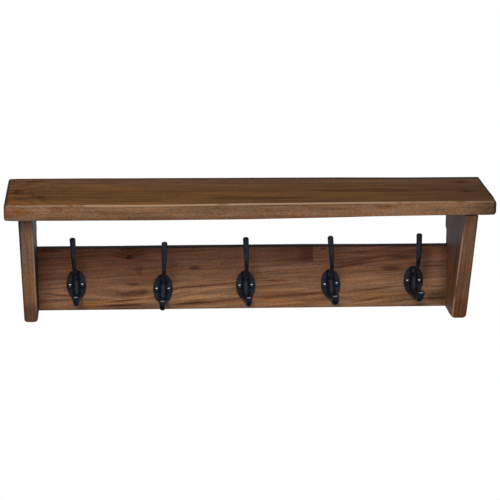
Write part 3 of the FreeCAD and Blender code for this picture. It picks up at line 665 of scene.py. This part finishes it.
def rail_wood():
    f = Finish("rail_wood")
    grain = Grain(f, "xzy", (-0.16, 0.1), 1.4, spacing=8 * MM, slope=-0.06, hills=RAIL_HILLS)
    facing = f.facing()
    upper = grain.colour(RAIL_UPPER, spread=0.28, depth=0.4, flecks=0.9)
    lower = grain.colour(RAIL_LOWER, spread=0.3, depth=0.45, flecks=0.9, streak=1.9)
    level = f.add(grain.z, f.swing(grain.bands, 0.05), f.swing(grain.mottle, 0.03))
    colour = f.mix(f.smooth(level, *RAIL_CHANGE), upper, lower)
    colour = grain.shade(colour, RAIL_TONES)
    colour = grain.stain(colour, RAIL_MARKS)
    dark = f.times(f.scaled(f.smooth(grain.x, *DARK_DEEPEST), 0.45, 0.55), f.smooth(grain.x, *DARK_START),
                   f.smooth(grain.x, *DARK_END), f.smooth(grain.z, *DARK_BOTTOM))
    colour = f.tint(colour, dark, (0.53, 0.44, 0.47))
    # Painted shade along the bottom edge
    colour = f.tint(colour, f.smooth(grain.z, *RAIL_BOTTOM_SHADE), (0.6, 0.55, 0.55))
    top_edge = f.smooth(facing[2], 0.4, 0.8)
    colour = f.tint(colour, top_edge, (0.075, 0.1, 0.14))
    colour = f.tint(colour, f.times(top_edge, f.smooth(grain.x, -0.12, -0.28)), (1.6, 1.3, 1.2))
    return grain.finish_board(colour, gloss=0.012)


RIDGE_HIGHLIGHT = "ridge"
LIP_HIGHLIGHT = "lip"
PAINTED_SHADE = "painted_shade"
IRON_DARK = (0.0052, 0.0068, 0.0108)
IRON_PALE = (0.0142, 0.0192, 0.0312)
IRON_RIDGE_HIGHLIGHT = (0.045, 0.04, 0.041)
IRON_LIP_HIGHLIGHT = (0.2, 0.21, 0.24)


def cast_iron():
    """Black iron, with painted highlights on the ridge and the lower lip, painted shade beside the ridge,
    under the screws and on the lower tip, and painted shade with less gloss underneath.
    """
    f = Finish("black_cast_iron")
    place = f.place()
    lumps = f.cells(place, [260] * 3, 3)
    grit = f.cells(place, [1500] * 3, 2)
    patches = f.cells(place, [90] * 3, 3)
    # Painted shade, with less gloss, on faces turned down
    under = f.smooth(f.facing()[2], 0.0, -0.5)
    painted_shade = f.attribute(PAINTED_SHADE)
    colour = f.ramp(patches, [(0.35, IRON_DARK), (0.65, IRON_PALE)])
    colour = f.tint(colour, under, (0.6, 0.55, 0.5))
    # Painted shade, with less gloss, beside the ridge, under the screw heads and on the lower tip
    colour = f.tint(colour, painted_shade, (0.4, 0.4, 0.5))
    # Painted highlight along the ridge's front
    rub = f.smooth(f.add(f.attribute(RIDGE_HIGHLIGHT), f.swing(grit, 0.6)), 0.35, 0.8)
    colour = f.mix(f.times(rub, 0.6), colour, IRON_RIDGE_HIGHLIGHT)
    # Painted highlight on the front lip of the lower tip
    lip = f.smooth(f.add(f.attribute(LIP_HIGHLIGHT), f.swing(grit, 0.6)), 0.4, 0.8)
    f.set("Base Color", f.mix(lip, colour, IRON_LIP_HIGHLIGHT))
    f.set("Roughness", f.scaled(lumps, 0.2, 0.2))
    f.set("Specular IOR Level", f.times(f.scaled(under, -0.11, 0.13), f.scaled(painted_shade, -0.75, 1.0)))
    f.set("Specular Tint", (0.9, 0.97, 1.0, 1.0))
    f.bump(f.add(lumps, f.times(grit, 0.35)), 0.5 * MM, 0.6)
    return f.material


SCREW_HIGHLIGHT_SIDE = Vector((-0.15, -0.5, 0.85)).normalized()
SCREW_DARK = (0.006, 0.007, 0.009)
SCREW_PALE = (0.025, 0.028, 0.034)
SCREW_HIGHLIGHT = (0.95, 0.96, 1.0)


def screw_black():
    """Black paint, with a painted highlight on the upper side of the heads."""
    f = Finish("black_screw")
    scuff = f.cells(f.place(), [900] * 3, 3)
    upward = f.add(*map(f.times, f.facing(), SCREW_HIGHLIGHT_SIDE))
    # Painted highlight: the heads are painted near white where they face up and a little forward
    rubbed = f.smooth(f.add(upward, f.swing(scuff, 0.12)), 0.76, 0.92)
    colour = f.ramp(scuff, [(0.4, SCREW_DARK), (0.7, SCREW_PALE)])
    f.set("Base Color", f.mix(rubbed, colour, SCREW_HIGHLIGHT))
    f.set("Roughness", f.scaled(scuff, 0.3, 0.15))
    f.set("Metallic", 0.3)
    f.set("Specular IOR Level", 0.15)
    f.bump(scuff, 0.1 * MM, 0.4)
    return f.material


def plain_steel():
    f = Finish("zinc_plated_steel")
    place = f.place()
    brushed = f.cells(place, (2500, 2500, 60), 3, 0.5)
    clouds = f.cells(place, [160] * 3, 3, 0.5)
    f.set("Base Color", f.ramp(clouds, [(0.35, (0.42, 0.42, 0.41)), (0.65, (0.62, 0.62, 0.6))]))
    f.set("Roughness", f.scaled(brushed, 0.3, 0.22))
    f.set("Metallic", 1.0)
    f.bump(brushed, 0.05 * MM, 0.3)
    return f.material


def end_grain(name, dark, pale, gloss=0.2):
    """Cut across the grain: close rings of pores."""
    f = Finish(name)
    place = f.place()
    rings = f.cells(place, (700, 160, 120), 3)
    pores = f.cells(place, (2600, 2600, 300), 2, 0.5)
    colour = f.ramp(rings, [(0.35, dark), (0.65, pale)])
    f.set("Base Color", f.tint(colour, f.smooth(pores, 0.55, 0.7), (0.5, 0.45, 0.4)))
    f.set("Roughness", f.scaled(rings, 0.3, 0.45))
    f.set("Specular IOR Level", gloss)
    f.bump(f.add(rings, f.times(pores, -0.5)), 0.2 * MM, 0.5)
    return f.material


# Pieces
def add_piece(mesh, material, node, smooth=True):
    piece = new_object(mesh.name, mesh)
    mesh.materials.clear()
    mesh.materials.append(material)
    for face in mesh.polygons:
        face.use_smooth = smooth
    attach(piece, ROOT)
    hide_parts(node)


def add_prism(mesh, first, second):
    """Closes two rings of points into a solid."""
    rings = [[mesh.verts.new(point) for point in ring] for ring in (first, second)]
    mesh.faces.new(reversed(rings[0]))
    mesh.faces.new(rings[1])
    for i in range(len(first)):
        following = (i + 1) % len(first)
        mesh.faces.new((rings[0][i], rings[0][following], rings[1][following], rings[1][i]))


def finished_mesh(name, mesh):
    data = bpy.data.meshes.new(name)
    mesh.to_mesh(data)
    mesh.free()
    return data


def settled_mesh(name, source):
    """The mesh of a scratch object after its modifiers. The object goes."""
    graph = bpy.context.evaluated_depsgraph_get()
    mesh = bpy.data.meshes.new_from_object(source.evaluated_get(graph))
    mesh.name = name
    bpy.data.objects.remove(source)
    return mesh


def share(value, start, end):
    """How far a value lies on the way from the start to the end."""
    return (value - start) / (end - start)


def ramp(value, low, high):
    """0 at low, 1 at high and straight between them."""
    return min(max(share(value, low, high), 0.0), 1.0)


def hump(value, middle, width):
    return math.exp(-((value - middle) / width) ** 2)


def uneven(point, size, seed):
    """Slow noise of -1 to 1 that changes over about the size."""
    return noise.noise(point / size + Vector((seed, 2 * seed, 3 * seed)))


# Where the lines of a board's mesh lie near its edges, as shares of a width
EDGE_MARKS = (0.0, 0.1, 0.22, 0.36, 0.52, 0.7, 0.85, 1.0)
EDGE_WIDTH = 8 * MM
MESH_STEP = 7 * MM


def marks_along(low, high):
    """Places from low to high, close together near both ends and a step apart between them."""
    near = [EDGE_WIDTH * mark for mark in EDGE_MARKS]
    length = high - low - 2 * EDGE_WIDTH
    count = max(2, round(length / MESH_STEP))
    inside = [low + EDGE_WIDTH + length * i / count for i in range(1, count)]
    return [low + n for n in near] + inside + [high - n for n in reversed(near)]


def board_mesh(name, low, high, radius_at, shape):
    """A board with rounded edges. radius_at gives the rounding at a point, and shape moves each point."""
    marks = [marks_along(low[i], high[i]) for i in range(3)]
    mesh = bmesh.new()
    edge_layer = mesh.verts.layers.float.new(EDGE)
    known = {}

    def vertex(index):
        if index not in known:
            flat = Vector(marks[i][index[i]] for i in range(3))
            radius = radius_at(flat)
            inner = Vector(min(max(flat[i], low[i] + radius), high[i] - radius) for i in range(3))
            out = flat - inner
            rounded = inner + out.normalized() * radius if out.length > 0 else flat
            known[index] = mesh.verts.new(shape(rounded))
            depths = sorted(min(flat[i] - low[i], high[i] - flat[i]) for i in range(3))
            known[index][edge_layer] = depths[1]
        return known[index]

    for axis in range(3):
        first, second = (axis + 1) % 3, (axis + 2) % 3
        spans = [range(len(marks[side]) - 1) for side in (first, second)]
        for end, i, j in product((0, len(marks[axis]) - 1), *spans):
            corners = []
            for step_i, step_j in ((0, 0), (1, 0), (1, 1), (0, 1)):
                index = [0, 0, 0]
                index[axis], index[first], index[second] = end, i + step_i, j + step_j
                corners.append(vertex(tuple(index)))
            mesh.faces.new(corners if end else reversed(corners))
    return finished_mesh(name, mesh)


def dished(low, high, depth, size, seed):
    """Moves a point a little towards the middle of the board, and never out of its box."""
    middle = (Vector(low) + Vector(high)) / 2

    def shape(point):
        pull = depth * (0.5 + 0.5 * uneven(point, size, seed))
        moved = point.copy()
        for i in range(3):
            if abs(point[i] - middle[i]) > pull:
                moved[i] -= math.copysign(pull, point[i] - middle[i])
        return moved

    return shape


class WornShelf:
    """The shelf board in its box, with a little wind in its top and a front edge that isn't straight.

    Pairs of numbers are shares of its length or depth: a start and an end, or a middle and a width.
    """

    SETTLE = 0.3 * MM
    BACK_DROP = 2.5 * MM
    BACK_FALL = (0.42, 0.85)
    BACK_SAG = 0.7 * MM
    BACK_LOW = (0.42, 0.16)
    FRONT_DROP = 2 * MM
    FRONT_DIP = 1.8 * MM
    FRONT_LOW = (0.28, 0.16)
    FRONT_RISE = 0.7 * MM
    FRONT_CLIMB = (0.6, 0.8)
    LEFT_LIP = 2.6 * MM
    RIGHT_LIFT = 2.2 * MM
    LIP_CLIMB = (0.5, 0.92)
    LIP_WAVE = 0.7 * MM
    LIP_HIGH = (0.8, 0.12)
    LIP_LOW = (0.32, 0.2)
    LIP_DEPTH = (0.85, 1.0)
    ROUND = 2.4 * MM
    ROUND_CHANGE = 0.6 * MM
    LEFT_ROUND = 2.6 * MM
    LEFT_END = (0.02, 0.0)
    RIGHT_ROUND = 4.6 * MM
    RIGHT_END = (0.985, 1.0)
    RIGHT_DEPTH = (0.8, 1.0)

    def __init__(self):
        self.low, self.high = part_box("shelf_board")
        self.settle = dished(self.low, self.high, self.SETTLE, 0.12, 4.0)

    def shares(self, point):
        along = share(point.x, self.low.x, self.high.x)
        forward = share(point.y, self.high.y, self.low.y)
        return along, forward

    def top_drop(self, point):
        """How far the top lies under the box's top."""
        along, forward = self.shares(point)
        back = self.BACK_DROP * ramp(along, *self.BACK_FALL) + self.BACK_SAG * hump(along, *self.BACK_LOW)
        front = self.FRONT_DROP + self.FRONT_DIP * hump(along, *self.FRONT_LOW)
        front -= self.FRONT_RISE * ramp(along, *self.FRONT_CLIMB)
        return back + (front - back) * forward

    def bottom_lift(self, point):
        along, forward = self.shares(point)
        lip = -self.LEFT_LIP + (self.LEFT_LIP + self.RIGHT_LIFT) * ramp(along, *self.LIP_CLIMB)
        lip += self.LIP_WAVE * (hump(along, *self.LIP_HIGH) - hump(along, *self.LIP_LOW))
        return lip * ramp(forward, *self.LIP_DEPTH)

    def shape(self, point):
        settled = self.settle(point)
        up = share(point.z, self.low.z, self.high.z)
        settled.z += (1.0 - up) * self.bottom_lift(point) - up * self.top_drop(point)
        return settled

    def radius_at(self, point):
        along, forward = self.shares(point)
        left_end = ramp(along, *self.LEFT_END)
        right_foot = ramp(along, *self.RIGHT_END) * ramp(forward, *self.RIGHT_DEPTH)
        ends = max(self.LEFT_ROUND * left_end, self.RIGHT_ROUND * right_foot)
        return self.ROUND + ends + self.ROUND_CHANGE * uneven(point, 0.07, 1.0)


def add_shelf():
    worn = WornShelf()
    mesh = board_mesh("shelf_board_worn", worn.low, worn.high, worn.radius_at, worn.shape)
    add_piece(mesh, shelf_wood(), "shelf_board")
    for side in SIDES:
        add_plugs(side, worn)


PLUG_SIDES = 32
PLUG_PROUD = 0.1 * MM
PLUG_TONES = {
    "left": ((0.075, 0.03, 0.01), (0.125, 0.053, 0.018)),
    "right": ((0.026, 0.009, 0.005), (0.056, 0.022, 0.011)),
}


def add_plugs(side, worn):
    """The two plugs of a side, cut off level with the worn top of the shelf."""
    node = f"{side}_screw_plugs"
    low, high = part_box(node)
    radius = (high.x - low.x) / 2
    turns = [2 * math.pi * i / PLUG_SIDES for i in range(PLUG_SIDES)]
    mesh = bmesh.new()
    for y in (low.y + radius, high.y - radius):
        middle = Vector((low.x + radius, y, high.z))
        top = high.z - worn.top_drop(middle) + PLUG_PROUD
        rim = [(middle.x + radius * math.cos(turn), y + radius * math.sin(turn)) for turn in turns]
        add_prism(mesh, [(*point, low.z) for point in rim], [(*point, top) for point in rim])
    data = finished_mesh(f"{node}_worn", mesh)
    material = end_grain(f"{side}_plug_wood", *PLUG_TONES[side], gloss=0.006)
    add_piece(data, material, node, smooth=False)


# How far a bracket's inner and outer faces stand off their true places, at the foot and at the top. Its inner
# back edge is turned over the upper half, with a step in it, and the left foot is cut shorter.
BRACKET_LEANS = {
    "left": SimpleNamespace(foot=mm(2, 1.8), top=mm(-0.2, -1.6), back=mm(-2.8, 0.9), lift=1.5 * MM, seed=6.0),
    "right": SimpleNamespace(foot=mm(-1.5, -0.2), top=mm(0, -1.6), back=mm(-2.2, -2), lift=0.0, seed=9.0),
}
BACK_TURN = (0.4, 1.0)
BACK_STEP = (0.66, 0.69)
BRACKET_SETTLE = 0.2 * MM
BRACKET_ROUND = 2.2 * MM
BRACKET_ROUND_CHANGE = 0.6 * MM
FOOT_ROUND = 5.4 * MM
FOOT_HEIGHT = 0.08
FOOT_FRONT = (0.7, 1.0)

POCKET_RADIUS = 6 * MM
POCKET_RISE = 9 * MM
POCKET_FALL = 5 * MM
POCKET_DEPTH = 10 * MM
POCKET_SIDES = 32
POCKET_CORNER = math.radians(50)


def pocket_tool(side):
    """A block with round ends, of the width and height of the hollow behind a keyhole."""
    low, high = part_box(f"{side}_hanger_plate")
    middle = (low + high) / 2
    rim = []
    for i in range(POCKET_SIDES):
        turn = 2 * math.pi * (i + 0.5) / POCKET_SIDES
        shift = POCKET_RISE if math.sin(turn) > 0 else -POCKET_FALL
        x = middle.x + POCKET_RADIUS * math.cos(turn)
        rim.append((x, middle.z + shift + POCKET_RADIUS * math.sin(turn)))
    mesh = bmesh.new()
    add_prism(mesh, *([(x, y, z) for x, z in rim] for y in (high.y + POCKET_DEPTH, high.y - POCKET_DEPTH)))
    return finished_mesh(f"{side}_pocket_tool", mesh)


def with_pocket(name, mesh, side):
    """A bracket hollowed behind its keyhole plate, for the head of the wall screw."""
    board = new_object(f"{name}_uncut", mesh)
    tool = new_object(f"{name}_tool", pocket_tool(side))
    cut = board.modifiers.new("pocket", "BOOLEAN")
    configure(cut, operation="DIFFERENCE", solver="EXACT", object=tool)
    hollowed = settled_mesh(name, board)
    bpy.data.objects.remove(tool)
    hollowed.set_sharp_from_angle(angle=POCKET_CORNER)
    return hollowed


def sideways(lean, up, out, back):
    """How far a point moves, from its shares of the height, thickness and depth."""
    foot, top = (inner + (outer - inner) * out for inner, outer in (lean.foot, lean.top))
    turn, step = lean.back
    edge = turn * ramp(up, *BACK_TURN) + step * ramp(up, *BACK_STEP)
    return foot + (top - foot) * up + edge * back * (1.0 - out)


def add_bracket(side):
    low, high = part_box(f"{side}_bracket")
    lean = BRACKET_LEANS[side]
    settle = dished(low, high, BRACKET_SETTLE, 0.09, lean.seed)

    def radius_at(point):
        up = share(point.z, low.z, high.z)
        forward = share(point.y, high.y, low.y)
        foot = ramp(up, FOOT_HEIGHT, 0.0) * ramp(forward, *FOOT_FRONT)
        return BRACKET_ROUND + FOOT_ROUND * foot + BRACKET_ROUND_CHANGE * uneven(point, 0.05, 2.0)

    def shape(point):
        settled = settle(point)
        up = share(settled.z, low.z, high.z)
        right_share = share(settled.x, low.x, high.x)
        back = share(settled.y, low.y, high.y)
        settled.y = high.y + (settled.y - high.y) * (BRACKET_FOOT_SHARE + (1.0 - BRACKET_FOOT_SHARE) * up)
        settled.x += sideways(lean, up, 1.0 - right_share if side == "left" else right_share, back)
        settled.z += lean.lift * (1.0 - up)
        return settled

    name = f"{side}_bracket_worn"
    mesh = with_pocket(name, board_mesh(f"{name}_board", low, high, radius_at, shape), side)
    add_piece(mesh, bracket_wood(side), f"{side}_bracket")


# The rail's top edge stands a little higher over the left two thirds, and is rounder than its bottom edge
RAIL_INSET = 0.05 * MM
RAIL_RISE = 0.15 * MM
RAIL_CROWN = 1 * MM
CROWN_END = (0.8, 0.65)
CROWN_DIP = 0.35
CROWN_LOW = (0.18, 0.08)
RAIL_ROUND = 0.4 * MM
RAIL_TOP_ROUND = 0.6 * MM
RAIL_ROUND_CHANGE = 0.2 * MM
RAIL_TOP = (0.3, 0.7)


def add_rail():
    low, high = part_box("hook_rail")

    def shape(point):
        up = share(point.z, low.z, high.z)
        along = share(point.x, low.x, high.x)
        crown = RAIL_CROWN * (ramp(along, *CROWN_END) - CROWN_DIP * hump(along, *CROWN_LOW))
        return point + Vector((0.0, 0.0, RAIL_INSET + up * (RAIL_RISE + crown)))

    def radius_at(point):
        top = ramp(share(point.z, low.z, high.z), *RAIL_TOP)
        return RAIL_ROUND + RAIL_TOP_ROUND * top + RAIL_ROUND_CHANGE * uneven(point, 0.06, 3.0)

    mesh = board_mesh("hook_rail_worn", low, high, radius_at, shape)
    add_piece(mesh, rail_wood(), "hook_rail")


RAIL_FACE = -19 * MM


@dataclass
class HookPlan:
    """A hook's place and tilt, its prong's rise, and how its lower arm and its tip bend and spread."""

    along: float
    up: float
    tilt: float
    prong_rise: float
    arm_bend: float = 0.0
    tip_bend: float = 0.0
    tip_spread: float = 0.0

    def __post_init__(self):
        self.cos = math.cos(math.radians(self.tilt))
        self.sin = math.sin(math.radians(self.tilt))

    def to_hook(self, point):
        """A point of the part as aside, reach and height from the middle of the hook's back."""
        x = point.x - self.along
        z = point.z - self.up
        return x * self.cos - z * self.sin, RAIL_FACE - point.y, x * self.sin + z * self.cos

    def to_part(self, aside, reach, height):
        x = aside * self.cos + height * self.sin
        z = height * self.cos - aside * self.sin
        return Vector((self.along + x, RAIL_FACE - reach, self.up + z))


HOOK_PLANS = [
    HookPlan(-0.3296, -0.0101, -2.4, -1.2 * MM),
    HookPlan(-0.1611, -0.02, 0.8, -0.9 * MM, arm_bend=-2.8 * MM),
    HookPlan(0.001, -0.0147, -2.6, 1.6 * MM, arm_bend=1 * MM),
    HookPlan(0.1684, -0.0137, -5.0, 1.9 * MM, arm_bend=0.4 * MM, tip_bend=0.4 * MM, tip_spread=0.18),
    HookPlan(0.332, -0.0084, -0.9, -0.3 * MM, arm_bend=1.6 * MM, tip_bend=2.2 * MM, tip_spread=0.14),
]
VOXEL = 0.7 * MM
SWELL = 0.5 * MM
PLATE_HALF = mm(18.5, 30)
PLATE_FRONT = 4.6 * MM
PLATE_DOME = 1.6 * MM
DOME_RISE = mm(3, 4.4)
SCREW_ASIDE = 11.8 * MM
# The prong: its middle's reach, its end's swelling, and the heights over which it swells and rises
PRONG_AXIS = 66 * MM
PRONG_SPREAD = 0.07
PRONG_END = mm(55, 85)
PRONG_RUN = mm(45, 85)
# The lower arm: its tip's reach and top, and the reaches over which it bends, widens and turns up
ARM_REACH = 75 * MM
ARM_BOTTOM = -24 * MM
ARM_TOP = 1.5 * MM
ARM_LIMIT = 5 * MM
ARM_RUN = (14 * MM, ARM_REACH)
ARM_WEB = 0.3
WEB_ROOT = mm(5, 12)
WEB_END = mm(62, 30)
SPREAD_RUN = mm(45, 60)
TIP_RUN = mm(55, 68)
# Where the painted highlights on the ridge and the lip and the painted shade begin and end
RIDGE_HALF = 2.4 * MM
RIDGE_FOOT = mm(-34, -24)
RIDGE_HEAD = mm(48, 26)
RIDGE_NEAR = mm(7, 9)
RIDGE_FAR = mm(60, 40)
LIP_FRONT = (ARM_REACH + 2.5 * MM, ARM_REACH + 4.5 * MM)
LIP_LEVEL = (ARM_TOP - 1.2 * MM, 1.1 * MM)
LIP_SIDE = mm(5, 3)
RIDGE_SHADE_SIDE = mm(5.5, 2.5)
RIDGE_SHADE_NEAR = mm(9, 7)
SCREW_SHADOW_RIM = mm(5, 1.8)
SCREW_SHADOW_BELOW = mm(2, -2)
TIP_SHADE = 0.6
TIP_SHADE_RUN = mm(50, 66)


def settle_casting(plan, point):
    """Bends the lower arm, swells the prong's end and the plate, and gives the point back."""
    aside, reach, height = plan.to_hook(point)
    if height < ARM_LIMIT:
        raised = ramp(height, ARM_BOTTOM, ARM_TOP)
        at_tip = raised * ramp(reach, *TIP_RUN)
        aside *= 1.0 + ARM_WEB * ramp(reach, *WEB_ROOT) * ramp(reach, *WEB_END) * (1.0 - raised)
        aside *= 1.0 + plan.tip_spread * ramp(reach, *SPREAD_RUN)
        aside += ramp(reach, *ARM_RUN) ** 1.5 * (plan.arm_bend + plan.tip_bend * at_tip)
    end = PRONG_SPREAD * ramp(height, *PRONG_END)
    aside += end * aside
    reach += end * (reach - PRONG_AXIS)
    inside = 1.0 - (aside / PLATE_HALF[0]) ** 2 - (height / PLATE_HALF[1]) ** 2
    if inside > 0.0:
        dome = PLATE_DOME * inside * ramp(reach, *DOME_RISE)
        reach = max(reach, min(reach, PLATE_FRONT) + dome)
    height += plan.prong_rise * ramp(height, *PRONG_RUN)
    return plan.to_part(aside, reach, height)


def painted_light_parts(plan, point):
    """How far a point takes the painted highlight on the ridge and on the lower lip, and the painted shade by
    the ridge, the screws and the tip.
    """
    aside, reach, height = plan.to_hook(point)
    along_ridge = ramp(height, *RIDGE_FOOT) * ramp(height, *RIDGE_HEAD)
    in_reach = ramp(reach, *RIDGE_NEAR) * ramp(reach, *RIDGE_FAR)
    ridge = hump(aside, 0.0, RIDGE_HALF) * along_ridge * in_reach
    lip = ramp(reach, *LIP_FRONT) * hump(height, *LIP_LEVEL) * ramp(abs(aside), *LIP_SIDE)
    # Painted shade beside the ridge, a painted shadow under each screw head, and painted shade on the lower
    # tip
    painted_shade = hump(abs(aside), *RIDGE_SHADE_SIDE) * ramp(reach, *RIDGE_SHADE_NEAR)
    from_screw = math.hypot(abs(aside) - SCREW_ASIDE, height)
    screw_shadow = hump(from_screw, *SCREW_SHADOW_RIM) * ramp(height, *SCREW_SHADOW_BELOW)
    at_tip = TIP_SHADE * ramp(reach, *TIP_SHADE_RUN) * ramp(height, ARM_LIMIT, ARM_TOP)
    return {RIDGE_HIGHLIGHT: ridge, LIP_HIGHLIGHT: lip, PAINTED_SHADE: max(painted_shade, screw_shadow, at_tip)}


def cast_mesh(name, node, plan):
    """A copy of a hook's solid with its parts run into each other and bent, as in a casting."""
    source = new_object(f"{name}_source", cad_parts[node].data.copy())
    configure(source.modifiers.new("remesh", "REMESH"), mode="VOXEL", voxel_size=VOXEL)
    configure(source.modifiers.new("relax", "SMOOTH"), factor=0.5, iterations=5)
    configure(source.modifiers.new("swell", "DISPLACE"), strength=SWELL, mid_level=0.0)
    mesh = settled_mesh(name, source)
    layers = {part: mesh.attributes.new(part, "FLOAT", "POINT") for part in (RIDGE_HIGHLIGHT, LIP_HIGHLIGHT, PAINTED_SHADE)}
    for vertex in mesh.vertices:
        for part, amount in painted_light_parts(plan, vertex.co).items():
            layers[part].data[vertex.index].value = amount
        vertex.co = settle_casting(plan, vertex.co)
    return mesh


def add_hooks():
    iron = cast_iron()
    for hook, plan in enumerate(HOOK_PLANS, 1):
        node = f"coat_hook_{hook}"
        add_piece(cast_mesh(f"cast_hook_{hook}", node, plan), iron, node)


def dress_fittings():
    """The small CAD pieces keep their shapes and get their finishes."""
    finishes = {
        "dowels": end_grain("dowel_wood", (0.34, 0.22, 0.12), (0.5, 0.36, 0.21)),
        "hook_screws": screw_black(),
    }
    steel = plain_steel()
    for name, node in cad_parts.items():
        if node.hide_render:
            continue
        material = next((finish for word, finish in finishes.items() if word in name), steel)
        for slot in node.material_slots:
            slot.material = material


scene.view_settings.view_transform = "Standard"
add_camera()
add_world()
add_lamps()
add_floor()
add_shelf()
for side in SIDES:
    add_bracket(side)
add_rail()
add_hooks()
dress_fittings()
